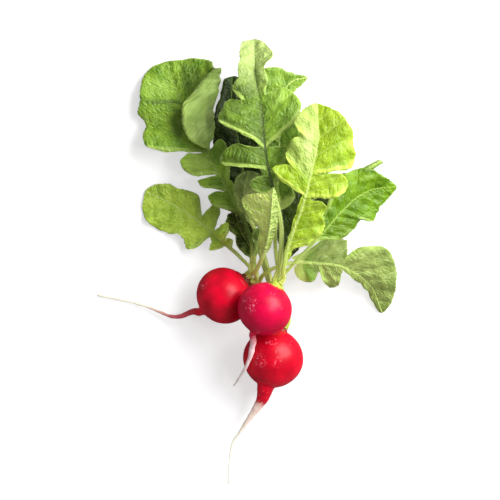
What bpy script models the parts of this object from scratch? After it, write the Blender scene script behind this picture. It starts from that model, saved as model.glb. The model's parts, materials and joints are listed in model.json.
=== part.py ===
"""A bunch of three red radishes lying on a flat surface, with their leaves spread out above them.

Each radish is one solid: a round bulb, a short green neck and a long thin taproot. Each leaf is one
solid too: a petiole that runs on as the midrib of a lobed blade. Lengths are in millimetres on the
surface, x to the right, y away from the roots and z up, and become metres when a mesh is made.
"""

import math
from dataclasses import dataclass

import bmesh
import bpy
import numpy as np

METRES_PER_MM = 0.001

# Leaf solids
BLADE_THICKNESS = 0.9
RIB_RADIUS_AT_TIP = 0.35
RIB_TAPER = 0.7
NARROWEST_AT = 0.4
PETIOLE_ROWS = 8
LEAVING_LENGTH = 3.5
LEAVING_SPREAD = 0.35
DIRECTION_STEP = 0.006
BLADE_OPENING = 12
ROUNDNESS_ABOVE = np.array([0.85, 0.75, 0.55, 0.4])
ROUNDNESS_BELOW = np.array([1, 0.9, 0.65, 0.4])
KEEL_BELOW = np.array([0.7, 0.4, 0, 0])
VEIN_SLANT = 0.62
LEAST_GAP = 0.006
LEAST_RULING_GAP = 0.06
LONGEST_EDGE = 8.0
SCALLOP = 0.07
SHALLOW_NOTCH = 2
DEEP_NOTCH = 10
CREASE_SHARE = 0.8
PLAIN_STATIONS = ((0.5, 0, 0), (1, 0, 0))
CREASED_STATIONS = ((0.5, 0, 0), (0.9, 0, 0.1), (1, 0, 0.5), (1, 0.12, 0.95), (1, 0.55, 1), (1, 1, 0.8))
CREASE_HEIGHT = 5.0
CREASE_EASED_OVER = 8

# How leaves that lie on each other are kept apart
CLEARANCE = 0.5
SURFACE_GAP = 0.05
CELL = 0.8
SAMPLES_PER_FACE = 5
SPREADING_PASSES = 14
FIXED_PETIOLE_SHARE = 0.16
MAP_LOW = np.array([-95.0, -135.0])
MAP_HIGH = np.array([95.0, 125.0])

# Radish solids
BULB_SIDES = 20
BULB_RINGS = 13
BULB_TURNS = (0.08, 0.93)
ROOT_RINGS = 11
ROOT_STARTS_AFTER = 0.6
ROOT_JOINS = (0.35, 0.5)
ROOT_BEND_START = -1.5
ROOT_BEND_LENGTH = 6
BULB_DEPTH = 0.95
NECK_MARGIN = 1.1
NECK_GAP = 0.9
ROOT_TIP_RADIUS = 0.4
NECK_LENGTH = 0.7
NECK_WITHIN = 0.9


@dataclass
class Radish:
    """A bulb at centre, its neck pointing along heading and rise, and its root through root_route."""

    name: str
    centre: tuple
    radius: float
    heading: float
    rise: float
    root_radius: float
    root_taper: float
    root_route: list
    ring_radius: float

    def axis(self):
        """The unit vector from the root end to the leaf end."""
        turn = math.radians(self.heading)
        lift = math.radians(self.rise)
        flat = math.cos(lift)
        return np.array([math.cos(turn) * flat, math.sin(turn) * flat, math.sin(lift)])

    def crown(self):
        """The middle of the neck's end, where the petioles start."""
        return np.array(self.centre) + self.axis() * (self.radius * BULB_DEPTH + NECK_LENGTH)


@dataclass
class Leaf:
    """A leaf whose midrib runs from a radish's neck through route.

    left and right are the blade's outline from its base to its tip, as seen from above. A point of
    four numbers lies on a margin that is turned back over the blade: the last two are its crease.
    rise is how far each half climbs in its first 10 mm and bow what its next ones add, left and
    right. ripple is the height, number and start of the waves in the blade.
    """

    name: str
    plant: int
    clock: float
    route: list
    blade: float
    left: list
    right: list
    rise: tuple = (2, 2)
    bow: tuple = (-0.8, -0.8)
    ripple: tuple = (0.6, 3.0, 0.0)
    petiole: tuple = (1.3, 1.0)


RADISHES = [
    Radish(
        name="radish_left",
        centre=(-12.9, -22.8, 14.0),
        radius=14.25,
        heading=34,
        rise=6,
        root_radius=1.8,
        root_taper=3.4,
        root_route=[
            (-29.5, -31.0, 7.5),
            (-35, -33.2, 5.2),
            (-40, -33.0, 3.8),
            (-45, -31.0, 2.8),
            (-51, -28.6, 2.0),
            (-58, -26.4, 1.4),
            (-66, -24.6, 1.1),
            (-76.5, -22.4, 1.0),
        ],
        ring_radius=2.85,
    ),
    Radish(
        name="radish_centre",
        centre=(7.3, -29.3, 32.5),
        radius=13.7,
        heading=64,
        rise=4,
        root_radius=1.35,
        root_taper=1.2,
        root_route=[
            (1.6, -46.0, 29.6),
            (0.6, -51.5, 27.6),
            (-1.6, -57.5, 24.6),
            (-4.8, -63.0, 19.5),
            (-8.2, -68.0, 13.5),
        ],
        ring_radius=1.9,
    ),
    Radish(
        name="radish_lower",
        centre=(11.6, -54.0, 14.85),
        radius=15.1,
        heading=75,
        rise=0,
        root_radius=4,
        root_taper=3.4,
        root_route=[
            (7.1, -71.4, 13.8),
            (6.0, -74.2, 13.2),
            (4.6, -77.2, 12.2),
            (2.2, -80.4, 11.0),
            (-1.0, -85.0, 9.0),
            (-4.6, -90.4, 6.8),
            (-8.0, -95.0, 4.8),
            (-9.6, -100.5, 3.2),
            (-10.4, -108.0, 1.8),
            (-10.2, -117.0, 1.0),
        ],
        ring_radius=2.3,
    ),
]

# From the lowest leaf to the topmost: each one is bent clear of those before it.
LEAVES = [
    Leaf(
        name="leaf_back_long",
        plant=2,
        clock=240,
        route=[
            (13, -25.5, 7),
            (9.5, -16.5, 6.5),
            (6.5, -6.5, 8),
            (3.2, 5.5, 9.5),
            (0, 18.9, 10.5),
            (-3, 37, 10.5),
            (-5, 50, 10),
            (-7.2, 62, 8.5),
            (-9, 72, 5),
            (-9, 86.75, 1.5),
        ],
        blade=0.4,
        left=[
            (-2, 15),
            (-7, 20),
            (-11, 25),
            (-12.5, 32),
            (-14.5, 40),
            (-17, 48),
            (-18.5, 57),
            (-18, 66),
            (-16.5, 73),
            (-15, 76),
            (-14, 81),
            (-13, 85.25),
            (-10.75, 86.25),
        ],
        right=[
            (5, 15),
            (8.5, 24),
            (9, 33),
            (7, 42),
            (5.5, 52),
            (3, 61),
            (0.5, 70),
            (-2.5, 79),
            (-4.5, 85.5),
            (-7.25, 87),
        ],
        ripple=(0.8, 3.0, 0.6),
    ),
    Leaf(
        name="leaf_under_right",
        plant=2,
        clock=330,
        route=[
            (18, -27.5, 9),
            (15.5, -17.4, 8),
            (16.5, -6, 9),
            (20, 6, 10),
            (25, 17, 11),
            (32.5, 26, 12),
            (42, 33, 12),
            (52, 36.5, 11),
            (65.75, 44.75, 10),
        ],
        blade=0.3,
        left=[
            (14.5, 2),
            (12, 9),
            (11.5, 18),
            (12.5, 27),
            (16.5, 33),
            (22.5, 34.5),
            (27.5, 31),
            (33, 33),
            (40, 36),
            (48, 38.5),
            (55, 40.5),
            (60, 43),
            (64, 45),
        ],
        right=[
            (22, -2),
            (27, 5),
            (31, 12),
            (36, 18),
            (44, 24),
            (52, 30),
            (58, 36),
            (62, 40.5),
            (66.75, 43.5),
        ],
        ripple=(0.8, 3.0, 2.0),
    ),
    Leaf(
        name="leaf_crinkled",
        plant=0,
        clock=290,
        route=[(2.4, -7.2, 11), (1.8, -1.2, 9), (-1.5, 4.4, 8.5), (-4.8, 10, 8.5), (-7.5, 20, 8)],
        blade=0.3,
        left=[(-3.5, -1), (-7, 3), (-7.5, 7), (-10.5, 10), (-12.5, 14.5), (-11, 18), (-8.5, 19.5)],
        right=[(3.5, 0), (5, 5), (3.5, 9.5), (1, 12), (-0.5, 16), (-4, 19), (-6.5, 19.8)],
        rise=(5, 4),
        bow=(0, 0),
        ripple=(1.2, 3.0, 0.0),
        petiole=(1.15, 0.8),
    ),
    Leaf(
        name="leaf_far_left",
        plant=0,
        clock=170,
        route=[
            (-4.2, -4.4, 12.5),
            (-10, 1, 8.5),
            (-15, 5, 6),
            (-20, 9.5, 4),
            (-26, 14.5, 2.5),
            (-32.5, 19, 1.5),
            (-40, 23.5, 1),
            (-52.5, 29.5, 1),
        ],
        blade=0.27,
        left=[
            (-13, 2),
            (-17, 0),
            (-20.5, 0),
            (-19, 4),
            (-20.5, 7),
            (-23, 5),
            (-27, 1),
            (-31.5, 0.5),
            (-33.5, 6),
            (-36, 8),
            (-44, 9.5),
            (-48, 11.5),
            (-52.5, 15.5),
            (-54, 22),
            (-53, 27),
        ],
        right=[
            (-8.5, 5),
            (-12.5, 6),
            (-10.5, 10.5),
            (-11, 14),
            (-14.5, 12),
            (-18, 9.5),
            (-16, 14.5),
            (-15, 20),
            (-17.5, 23),
            (-21, 20.5),
            (-24, 17),
            (-24.5, 22),
            (-26, 27.5),
            (-30, 29.5),
            (-35, 30.5),
            (-40, 33),
            (-46.5, 33),
            (-51, 31),
        ],
        rise=(1.2, 2),
        bow=(-0.6, -0.8),
        ripple=(0.7, 3.0, 1.0),
        petiole=(1.15, 0.85),
    ),
    Leaf(
        name="leaf_top_right",
        plant=2,
        clock=60,
        route=[
            (17.8, -26.4, 14),
            (15, -16.6, 13.5),
            (13.8, -7, 15),
            (12.6, 3, 19),
            (13, 20, 24),
            (14, 40, 27),
            (15, 60, 28),
            (16.5, 75, 27),
            (20, 83.5, 26),
            (28.9, 86.2, 25),
        ],
        blade=0.46,
        left=[
            (9, 30),
            (5.5, 38),
            (5, 46),
            (7, 50.5),
            (6, 56),
            (5, 64),
            (9, 69),
            (7, 76),
            (5.5, 84),
            (7, 90.5),
            (15, 91),
            (18.5, 89),
            (23.5, 87.5),
            (27.5, 86.8),
        ],
        right=[
            (15.5, 20),
            (20, 22.5),
            (22.5, 27),
            (21, 31.5),
            (22.5, 38),
            (25, 44),
            (26.5, 50),
            (26.5, 55),
            (25, 60),
            (23, 64.5),
            (24.5, 69.5),
            (25, 73),
            (19, 76.5),
            (23.5, 80.5),
            (27, 83.5),
            (28.5, 85),
        ],
        rise=(1, 2),
        bow=(0, -0.5),
    ),
    Leaf(
        name="leaf_top_left",
        plant=0,
        clock=230,
        route=[
            (0.8, -7, 13.5),
            (0.9, 1, 14),
            (-1, 9, 14.5),
            (-4.8, 18, 14.8),
            (-9.6, 27.5, 13.8),
            (-15, 37, 13),
            (-20, 45, 11.5),
            (-25.5, 56, 9),
            (-31, 68, 6.5),
            (-36, 78, 4),
            (-42, 94.25, 1),
        ],
        blade=0.26,
        left=[
            (-5.5, 17),
            (-12, 20),
            (-19, 22.5),
            (-21, 27),
            (-17, 29.5),
            (-12.5, 29),
            (-18, 30.5),
            (-24, 31.5),
            (-26, 34.5),
            (-22.5, 36),
            (-16.7, 37.5),
            (-22, 38),
            (-28, 37),
            (-33, 40),
            (-35, 44.5),
            (-31, 48),
            (-24, 48.5),
            (-33, 50.5),
            (-40, 49.5),
            (-49, 50.5),
            (-52, 52),
            (-53.5, 56),
            (-52, 62.5),
            (-56, 68),
            (-55, 75),
            (-54.5, 82),
            (-53, 87),
            (-49, 91.5),
            (-44, 93.5),
        ],
        right=[
            (-4, 22),
            (-6, 30),
            (-10, 35),
            (-11, 45),
            (-12, 53),
            (-15, 55.5),
            (-19.5, 50.5),
            (-22.5, 50.8, -19.8, 52.2),
            (-30, 55, -18.5, 55),
            (-33, 60, -18, 60),
            (-34, 66, -18, 66),
            (-33.5, 73, -18, 72),
            (-28.5, 78.5, -16, 79),
            (-23.5, 85, -15, 85),
            (-18.5, 90, -15, 90.5),
            (-18.5, 93.8),
            (-25, 95.5),
            (-32, 95.5),
            (-40, 94.5),
        ],
        rise=(0.6, 1),
        bow=(-0.3, 0),
        petiole=(1.15, 0.9),
    ),
    Leaf(
        name="leaf_pale_back",
        plant=2,
        clock=150,
        route=[
            (13.5, -25.8, 13),
            (10.8, -16.4, 12.5),
            (8, -5.9, 14.5),
            (4.6, 5.9, 18.5),
            (0.5, 14, 22),
            (-2, 22, 24),
            (-2.5, 30, 24.5),
            (-0.3, 39.2, 24),
        ],
        blade=0.68,
        left=[(-3.5, 18), (-7, 24), (-8.5, 30), (-7.5, 35), (-4, 38.5), (-1, 39.5)],
        right=[(2.5, 18), (4.5, 25), (6, 31), (6, 36), (2.5, 39)],
        rise=(-3, -3),
        bow=(0.5, 0.5),
    ),
    Leaf(
        name="leaf_low_right",
        plant=0,
        clock=350,
        route=[
            (6.5, -12.5, 18.5),
            (10.8, -9.6, 21.5),
            (17.3, -7.2, 23.5),
            (24.7, -6.2, 22),
            (33.6, -6.6, 19),
            (42, -7.4, 17),
            (49.4, -9.9, 14.5),
            (56, -13.8, 11),
            (61.5, -19.8, 6),
            (66, -31.5, 2),
        ],
        blade=0.33,
        left=[
            (21, -4),
            (25.5, -1.5),
            (30.5, 1),
            (35, 4.5),
            (41, 5.5),
            (48.3, 4.8),
            (48.6, 0.5),
            (48.5, -2.5),
            (51.5, -0.3),
            (55.5, 1.5),
            (60, 2),
            (64.5, 2),
            (68.5, 0.5),
            (71, -3),
            (73, -9),
            (73, -15),
            (72, -22.5),
            (69.5, -28),
            (67.5, -30.5),
        ],
        right=[
            (22, -9),
            (23.5, -13.5),
            (27.5, -16),
            (32, -15),
            (34.5, -10.5),
            (36, -15),
            (40, -19),
            (44, -17.5),
            (45.5, -12.5),
            (46.5, -10),
            (49.5, -12.5),
            (55.5, -17),
            (59, -21),
            (62, -27),
            (64.5, -31),
        ],
        rise=(1, -5),
        bow=(-0.8, 0),
        petiole=(1.15, 0.95),
    ),
    Leaf(
        name="leaf_small",
        plant=0,
        clock=110,
        route=[(1, -7.5, 22), (2.6, -2.5, 26), (3.8, 2.5, 28), (4.6, 6.5, 29), (5.4, 11, 29.5)],
        blade=0.5,
        left=[(2.3, 2.5), (1, 6.5), (2, 10.5), (4, 11.2)],
        right=[(5.5, 1.5), (7, 4), (8, 8), (6.8, 10.8)],
        petiole=(1.1, 0.85),
    ),
    Leaf(
        name="leaf_far_right",
        plant=1,
        clock=285,
        route=[
            (22.4, -6.3, 35.5),
            (27.7, -0.5, 38),
            (33.1, 4.9, 40),
            (38.5, 11, 40),
            (45, 18.5, 39),
            (53, 26, 37),
            (62, 30.5, 34),
            (73.25, 31.5, 31),
        ],
        blade=0.36,
        left=[
            (33, 8),
            (35, 15),
            (38, 22),
            (40.5, 29),
            (42.5, 34.5),
            (45.5, 37.5),
            (50, 39),
            (56.5, 41),
            (60.5, 40.5),
            (64, 38.5),
            (68.5, 35.8),
            (72, 33),
        ],
        right=[
            (38, 5),
            (44.5, 5),
            (50.5, 9.5),
            (55, 14.5),
            (58, 15),
            (61.5, 14.5),
            (63, 17.5),
            (64.5, 21.5),
            (69.5, 26.5),
            (72.75, 30),
        ],
        rise=(3, -4),
        bow=(-1, 0),
        petiole=(1.1, 0.75),
    ),
    Leaf(
        name="leaf_top_centre",
        plant=1,
        clock=165,
        route=[
            (14.4, -9.5, 35),
            (15.4, 0, 37.5),
            (15.6, 9.7, 41),
            (14.2, 19.4, 44),
            (11.8, 29.1, 45),
            (9.6, 38.8, 45),
            (7.8, 48.6, 43),
            (6.8, 59.4, 40),
            (5.9, 70.8, 36),
            (4, 82.2, 31),
            (3, 92, 25),
            (2.2, 105.2, 18),
        ],
        blade=0.30,
        left=[
            (10, 26.5),
            (5, 28.5),
            (0.5, 31),
            (0.5, 34.5),
            (4, 36.5),
            (8.8, 37),
            (8.4, 41),
            (2.5, 41.9),
            (-5, 42.4),
            (-12.5, 42),
            (-15, 44),
            (-14, 47.5),
            (-10.5, 51.5),
            (-7, 53),
            (-1.5, 52),
            (5, 51.5),
            (2.5, 54),
            (-3, 57.5),
            (-9, 60.5),
            (-15, 63.5),
            (-16, 66.5),
            (-13.5, 70.5),
            (-11, 75),
            (-4.5, 74.5),
            (-6.5, 77),
            (-9, 80.5),
            (-6, 85.5),
            (-6, 90),
            (-5, 95),
            (-5, 100),
            (-4, 103.5),
            (0, 105),
        ],
        right=[
            (13.5, 33),
            (16, 41),
            (18.5, 47.5),
            (19, 51.5),
            (14, 51.3),
            (9.2, 51.5),
            (12.5, 55.2),
            (17, 59),
            (21.5, 63),
            (25, 69),
            (25.5, 72.5),
            (22, 78),
            (18.5, 80.5),
            (15, 81),
            (10.5, 79),
            (7.5, 78),
            (9, 83),
            (7, 90.5),
            (8.5, 93.5),
            (11.5, 98),
            (9.5, 101),
            (4.5, 105),
        ],
        rise=(2.6, 2.6),
        bow=(-1.6, -1.6),
        petiole=(1.35, 1.2),
    ),
    Leaf(
        name="leaf_bright",
        plant=1,
        clock=45,
        route=[
            (16.6, -10.5, 38.2),
            (18.4, -1.5, 42),
            (21.3, 8.7, 46),
            (25.1, 18.4, 50),
            (28, 28, 53),
            (30.3, 37.6, 54),
            (32.7, 47.2, 54),
            (34.3, 56, 53),
            (33.8, 64, 51),
            (33.4, 73, 48.5),
        ],
        blade=0.13,
        left=[
            (17.2, -2),
            (18.7, 4),
            (20.5, 10),
            (23, 18),
            (24.8, 24),
            (26.3, 27.5),
            (21, 31.8),
            (13.5, 36.5),
            (11, 40.5),
            (14.5, 42.3),
            (19.3, 42.8),
            (17.5, 47.5),
            (19.5, 52.5),
            (22, 56),
            (25.5, 56.5),
            (23, 61),
            (22, 64),
            (24.5, 67.5),
            (27, 70.5),
            (31.5, 73),
        ],
        right=[
            (21, -0.5),
            (25.5, 2),
            (30, 3),
            (34.5, 7),
            (37.5, 12.5),
            (36, 17),
            (38.5, 21),
            (36, 24),
            (31, 24.5),
            (30.5, 26.8),
            (34, 26.3),
            (39, 25.5),
            (44, 26.5),
            (48, 30),
            (48.5, 34.5),
            (45.5, 38),
            (40, 38),
            (33.5, 38.2),
            (44, 39.8),
            (50, 40.5),
            (52.5, 46),
            (51.5, 51),
            (51.5, 57.5),
            (48.5, 63.5),
            (44.5, 68.5),
            (41, 70),
            (35.5, 72.5),
        ],
        rise=(2.4, 1.6),
        bow=(-1.2, -1),
        petiole=(1.3, 1.05),
    ),
    Leaf(
        name="leaf_folded",
        plant=0,
        clock=50,
        route=[
            (2.8, -11.2, 23),
            (5.2, -5.8, 30.5),
            (7.5, 0.5, 38),
            (9, 7.5, 44.5),
            (10.2, 15, 50),
            (10.8, 22, 53.5),
            (11.5, 31.2, 55.5),
        ],
        blade=0.38,
        left=[(5, 9), (0.5, 15.5), (-3, 21), (-4.5, 24.5), (-3, 27), (2, 28), (7.5, 28.3), (10.5, 30.5)],
        right=[(11.5, 5), (13, 11), (14, 20), (13.7, 26), (12.5, 30)],
        rise=(-4, -6),
        bow=(0.6, 0),
        petiole=(1.15, 1.1),
    ),
]


SKIN_ROUGHNESS = 0.32
LEAF_ROUGHNESS = 0.5
COLOURS = {
    "radish_left": (0.55, 0.004, 0.024),
    "radish_centre": (0.72, 0.010, 0.070),
    "radish_lower": (0.66, 0.012, 0.045),
    "leaf_back_long": (0.045, 0.080, 0.015),
    "leaf_under_right": (0.050, 0.090, 0.015),
    "leaf_crinkled": (0.080, 0.120, 0.020),
    "leaf_far_left": (0.27, 0.43, 0.050),
    "leaf_top_right": (0.24, 0.38, 0.060),
    "leaf_top_left": (0.16, 0.28, 0.030),
    "leaf_pale_back": (0.27, 0.38, 0.110),
    "leaf_low_right": (0.38, 0.50, 0.150),
    "leaf_small": (0.30, 0.42, 0.090),
    "leaf_far_right": (0.30, 0.48, 0.040),
    "leaf_top_centre": (0.24, 0.38, 0.060),
    "leaf_bright": (0.46, 0.64, 0.090),
    "leaf_folded": (0.36, 0.48, 0.130),
}


def smooth_line(points, steps=14):
    """A dense polyline on a smooth curve that passes through the points."""
    knots = np.array(points, float)
    knots = np.vstack([2 * knots[0] - knots[1], knots, 2 * knots[-1] - knots[-2]])
    share = np.linspace(0, 1, steps, endpoint=False)[:, None]
    spans = []
    for a, b, c, d in zip(knots, knots[1:], knots[2:], knots[3:]):
        linear = (c - a) * share
        square = (2 * a - 5 * b + 4 * c - d) * share**2
        cube = (3 * b - a - 3 * c + d) * share**3
        spans.append(0.5 * (2 * b + linear + square + cube))
    return np.vstack(spans + [knots[-2:-1]])


def along(line, share):
    """Points on a polyline at these shares of its length."""
    steps = np.linalg.norm(np.diff(line, axis=0), axis=1)
    lengths = np.concatenate([[0], np.cumsum(steps)])
    wanted = np.asarray(share, float) * lengths[-1]
    return np.stack([np.interp(wanted, lengths, line[:, k]) for k in range(3)], axis=-1)


def unit(vectors):
    """The vectors at length one."""
    return vectors / np.maximum(np.linalg.norm(vectors, axis=-1, keepdims=True), 1e-9)


def ease(value):
    """0 below 0, 1 above 1, and a smooth step between."""
    held = np.clip(value, 0, 1)
    return held * held * (3 - 2 * held)


def ring_place(radish, clock):
    """Where a petiole starts on the neck, clock degrees round from the neck's right side."""
    axis = radish.axis()
    right = unit(np.cross(axis, [0, 0, 1]))
    up = np.cross(right, axis)
    turn = math.radians(clock)
    return radish.ring_radius * (math.cos(turn) * right + math.sin(turn) * up)


def rib_line(leaf):
    """The midrib as a dense polyline, from the neck of its radish to its last point."""
    radish = RADISHES[leaf.plant]
    offset = ring_place(radish, leaf.clock)
    base = radish.crown() + offset + radish.axis() * NECK_GAP
    leaving = base + radish.axis() * LEAVING_LENGTH + offset * LEAVING_SPREAD
    return smooth_line([base, leaving] + leaf.route)


def direction(line, share):
    """Unit vectors along the line at these shares of it."""
    ahead = along(line, np.clip(share + DIRECTION_STEP, 0, 1))
    return unit(ahead - along(line, np.clip(share - DIRECTION_STEP, 0, 1)))


def to_right(line, share):
    """Level unit vectors to the right of the midrib at these shares of it."""
    return unit(np.cross(direction(line, share), [0, 0, 1]))


def rib_radius(leaf, share):
    """Half the width of the petiole, and of the midrib beyond it."""
    start, rest = leaf.petiole
    petiole = np.interp(share, [0, leaf.blade * NARROWEST_AT], [start, rest])
    taper = np.clip((share - leaf.blade) / (1 - leaf.blade), 0, 1)
    return petiole + (RIB_RADIUS_AT_TIP - petiole) * taper**RIB_TAPER


def in_order(values):
    """The nearest values that never fall: those in a falling run share its mean."""
    runs = []
    for value in values:
        runs.append([value, 1])
        while len(runs) > 1 and runs[-2][0] > runs[-1][0]:
            (first, many), (last, few) = runs[-2:]
            runs[-2:] = [[(first * many + last * few) / (many + few), many + few]]
    return np.concatenate([np.full(count, value) for value, count in runs])


@dataclass
class Margin:
    """One half's outline: where each vein starts, its end, its crease and if it is turned back."""

    start: np.ndarray
    edge: np.ndarray
    crease: np.ndarray
    turned: np.ndarray


def margin_of(leaf, line, side):
    """The outline of a half with the share of the midrib that each of its points hangs on."""
    given = leaf.left if side < 0 else leaf.right
    base = along(line, [leaf.blade])
    foot = base + side * rib_radius(leaf, leaf.blade) * to_right(line, np.array([leaf.blade]))
    edge = np.vstack([foot[:, :2], [point[:2] for point in given]])
    turned = np.array([False] + [len(point) == 4 for point in given])
    crease = np.vstack([foot[:, :2], [point[-2:] for point in given]])
    flat = np.where(turned[:, None], 2 * crease - edge, edge)
    steps = np.linalg.norm(np.diff(line, axis=0), axis=1)
    lengths = np.concatenate([[0], np.cumsum(steps)])
    gaps = np.linalg.norm(flat[:, None] - line[None, :, :2], axis=2)
    start = (lengths[gaps.argmin(axis=1)] - gaps.min(axis=1) * VEIN_SLANT) / lengths[-1]
    start[0], start[-1] = leaf.blade, 1
    reach = gaps.min(axis=1)
    notch = np.pad((reach[1:-1] <= reach[:-2]) & (reach[1:-1] < reach[2:]), 1)
    shallow = 1 - np.clip((reach - SHALLOW_NOTCH) / (DEEP_NOTCH - SHALLOW_NOTCH), 0, 1)
    past = start + reach * VEIN_SLANT * shallow / lengths[-1]
    earliest = np.maximum.accumulate(np.where(notch, past, leaf.blade))
    earliest[1:], earliest[0] = earliest[:-1].copy(), leaf.blade
    latest = np.minimum.accumulate(np.where(notch, start, 1)[::-1])[::-1]
    least = np.arange(len(start)) * LEAST_GAP
    start = in_order(np.clip(start, earliest, latest) - least) + least
    start = np.clip(start, leaf.blade + least, 1 - least[::-1])
    part_way = CREASE_SHARE * edge + (1 - CREASE_SHARE) * along(line, start)[:, :2]
    crease = np.where(turned[:, None], crease, part_way)
    return Margin(start, edge, crease, turned.astype(float))


def outline_at(margin, share, side):
    """Edge, crease and turned share of an outline at shares of the midrib, scalloped between."""
    edge, crease = (
        np.stack([np.interp(share, margin.start, grid[:, k]) for k in range(2)], axis=1)
        for grid in (margin.edge, margin.crease)
    )
    index = np.clip(np.searchsorted(margin.start, share, side="right") - 1, 0, len(margin.start) - 2)
    within = (share - margin.start[index]) / (margin.start[index + 1] - margin.start[index])
    step = margin.edge[index + 1] - margin.edge[index]
    outward = side * np.stack([step[:, 1], -step[:, 0]], axis=1)
    back = 1 - 2 * np.interp(share, margin.start, margin.turned)
    swell = SCALLOP * 4 * within * (1 - within) * back * (share > margin.start[0])
    return edge + outward * swell[:, None], crease, np.interp(share, margin.start, margin.turned)


def row_shares(left, right):
    """Shares of the midrib for the blade's rows: at each outline point, and between far ones."""
    share = np.unique(np.round(np.concatenate([left.start, right.start]), 6))
    ends = [outline_at(margin, share, side)[0] for margin, side in ((left, -1), (right, 1))]
    longest = np.max([np.linalg.norm(np.diff(end, axis=0), axis=1) for end in ends], axis=0)
    halfway = ((share[1:] + share[:-1]) / 2)[longest > LONGEST_EDGE]
    return np.sort(np.concatenate([share, halfway]))


@dataclass
class Sheet:
    """A leaf's grid: rows from the neck to the tip, columns from the left margin to the right."""

    share: np.ndarray
    rib: int
    middle: np.ndarray
    above: np.ndarray
    below: np.ndarray


def untangled(place, edge, side):
    """The outline's points moved back a little where the next one's vein would pass them."""
    edge = edge.copy()
    for k in range(len(edge) - 2, -1, -1):
        ahead = unit(edge[k + 1] - place[k + 1])
        square = side * np.array([-ahead[1], ahead[0]])
        passed = np.dot(edge[k] - place[k + 1], square) + LEAST_RULING_GAP
        edge[k] -= max(passed, 0) * square
    return edge


def half_points(leaf, line, share, margin, side):
    """One half of the blade's middle surface, from just beside the midrib to the margin."""
    place = along(line, share)
    radius = rib_radius(leaf, share)[:, None]
    sideways = side * to_right(line, share)[:, :2]
    edge, crease, turned = outline_at(margin, share, side)
    petiole = (share < leaf.blade)[:, None]
    edge = np.where(petiole, place[:, :2] + sideways * radius, edge)
    crease = np.where(petiole, place[:, :2] + sideways * radius * 0.85, crease)
    stations = CREASED_STATIONS if margin.turned.any() else PLAIN_STATIONS
    if stations is PLAIN_STATIONS:
        crease = edge
    crease = untangled(place[:, :2], crease, side)
    edge = np.where(turned[:, None] > 0, edge, untangled(place[:, :2], edge, side))
    inner = place[:, :2] + unit(crease - place[:, :2]) * radius * 0.5
    plans = [inner]
    climbs = [np.zeros(len(share))]
    fold = CREASE_HEIGHT * turned * ease(np.linalg.norm(crease - inner, axis=1) / CREASE_EASED_OVER)
    for out, back, climb in stations:
        plans.append(inner + (crease - inner) * out + (edge - crease) * back)
        climbs.append(climb * fold)
    plan = np.stack(plans, axis=1)
    far = np.linalg.norm(plan - place[:, None, :2], axis=2) / 10
    half = 0 if side < 0 else 1
    blade_share = np.clip((share - leaf.blade) / (1 - leaf.blade), 0, 1)[:, None]
    height, waves, phase = leaf.ripple
    wave = height * np.sin(2 * math.pi * waves * blade_share + phase) * far**1.5
    shaped = leaf.rise[half] * far + leaf.bow[half] * far**2 + wave
    level = place[:, None, 2] + shaped * ease(share / leaf.blade)[:, None] + np.stack(climbs, axis=1)
    return np.concatenate([plan, level[..., None]], axis=2)


def grid_normals(grid):
    """Unit vectors square to a grid of points, on its upper side."""
    return unit(np.cross(np.gradient(grid, axis=1), np.gradient(grid, axis=0)))


def leaf_sheet(leaf):
    """The leaf's grid before it is bent clear of others, with its thickness above and below."""
    line = rib_line(leaf)
    left = margin_of(leaf, line, -1)
    right = margin_of(leaf, line, 1)
    for start in left.start:
        nearest = np.abs(right.start - start).argmin()
        if abs(right.start[nearest] - start) < LEAST_GAP * 0.8:
            right.start[nearest] = start
    petiole = np.linspace(0, leaf.blade, PETIOLE_ROWS, endpoint=False)
    share = np.concatenate([petiole, row_shares(left, right)])
    left_half = half_points(leaf, line, share, left, -1)[:, ::-1]
    right_half = half_points(leaf, line, share, right, 1)
    middle = np.concatenate([left_half, along(line, share)[:, None], right_half], axis=1)
    rib = left_half.shape[1]
    columns = middle.shape[1]
    normals = grid_normals(middle)
    normals[:, rib] = unit(normals[:, rib - 1] + normals[:, rib + 1])
    radius = rib_radius(leaf, share)[:, None]
    wing = ease((share - leaf.blade) * BLADE_OPENING)[:, None]
    half = BLADE_THICKNESS / 2
    beside = np.minimum(np.abs(np.arange(columns) - rib), 3)
    above = radius * ROUNDNESS_ABOVE[beside] * (1 - wing) + half * wing
    below = radius * (ROUNDNESS_BELOW[beside] * (1 - wing) + KEEL_BELOW[beside] * wing) + half * wing
    upper = middle + normals * above[..., None]
    lower = middle - normals * below[..., None]
    return Sheet(share, rib, middle, upper, lower)


def face_samples(grid):
    """Points spread evenly over each face of a grid, as (rows, columns, samples, 3)."""
    shares = (np.arange(SAMPLES_PER_FACE) + 0.5) / SAMPLES_PER_FACE
    down, over = (x.ravel()[None, None, :, None] for x in np.meshgrid(shares, shares))
    near = grid[:-1, :-1, None] * (1 - over) + grid[:-1, 1:, None] * over
    far = grid[1:, :-1, None] * (1 - over) + grid[1:, 1:, None] * over
    return near * (1 - down) + far * down


def cells(points):
    """The height map's cell under each point."""
    index = ((points[..., :2] - MAP_LOW) / CELL).astype(int)
    return index[..., 0], index[..., 1]


def widened(heights):
    """The height map with each cell raised to its highest neighbour."""
    padded = np.pad(heights, 1, mode="edge")
    rows, columns = heights.shape
    shifts = [padded[i : i + rows, j : j + columns] for i in range(3) for j in range(3)]
    return np.max(shifts, axis=0)


def blurred(grid):
    """Each value mixed with its neighbours along the rows and down the columns."""
    for axis in (0, 1):
        count = grid.shape[axis]
        before = np.concatenate([grid.take([0], axis), grid.take(range(count - 1), axis)], axis)
        after = np.concatenate([grid.take(range(1, count), axis), grid.take([-1], axis)], axis)
        grid = (before + 2 * grid + after) / 4
    return grid


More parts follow.
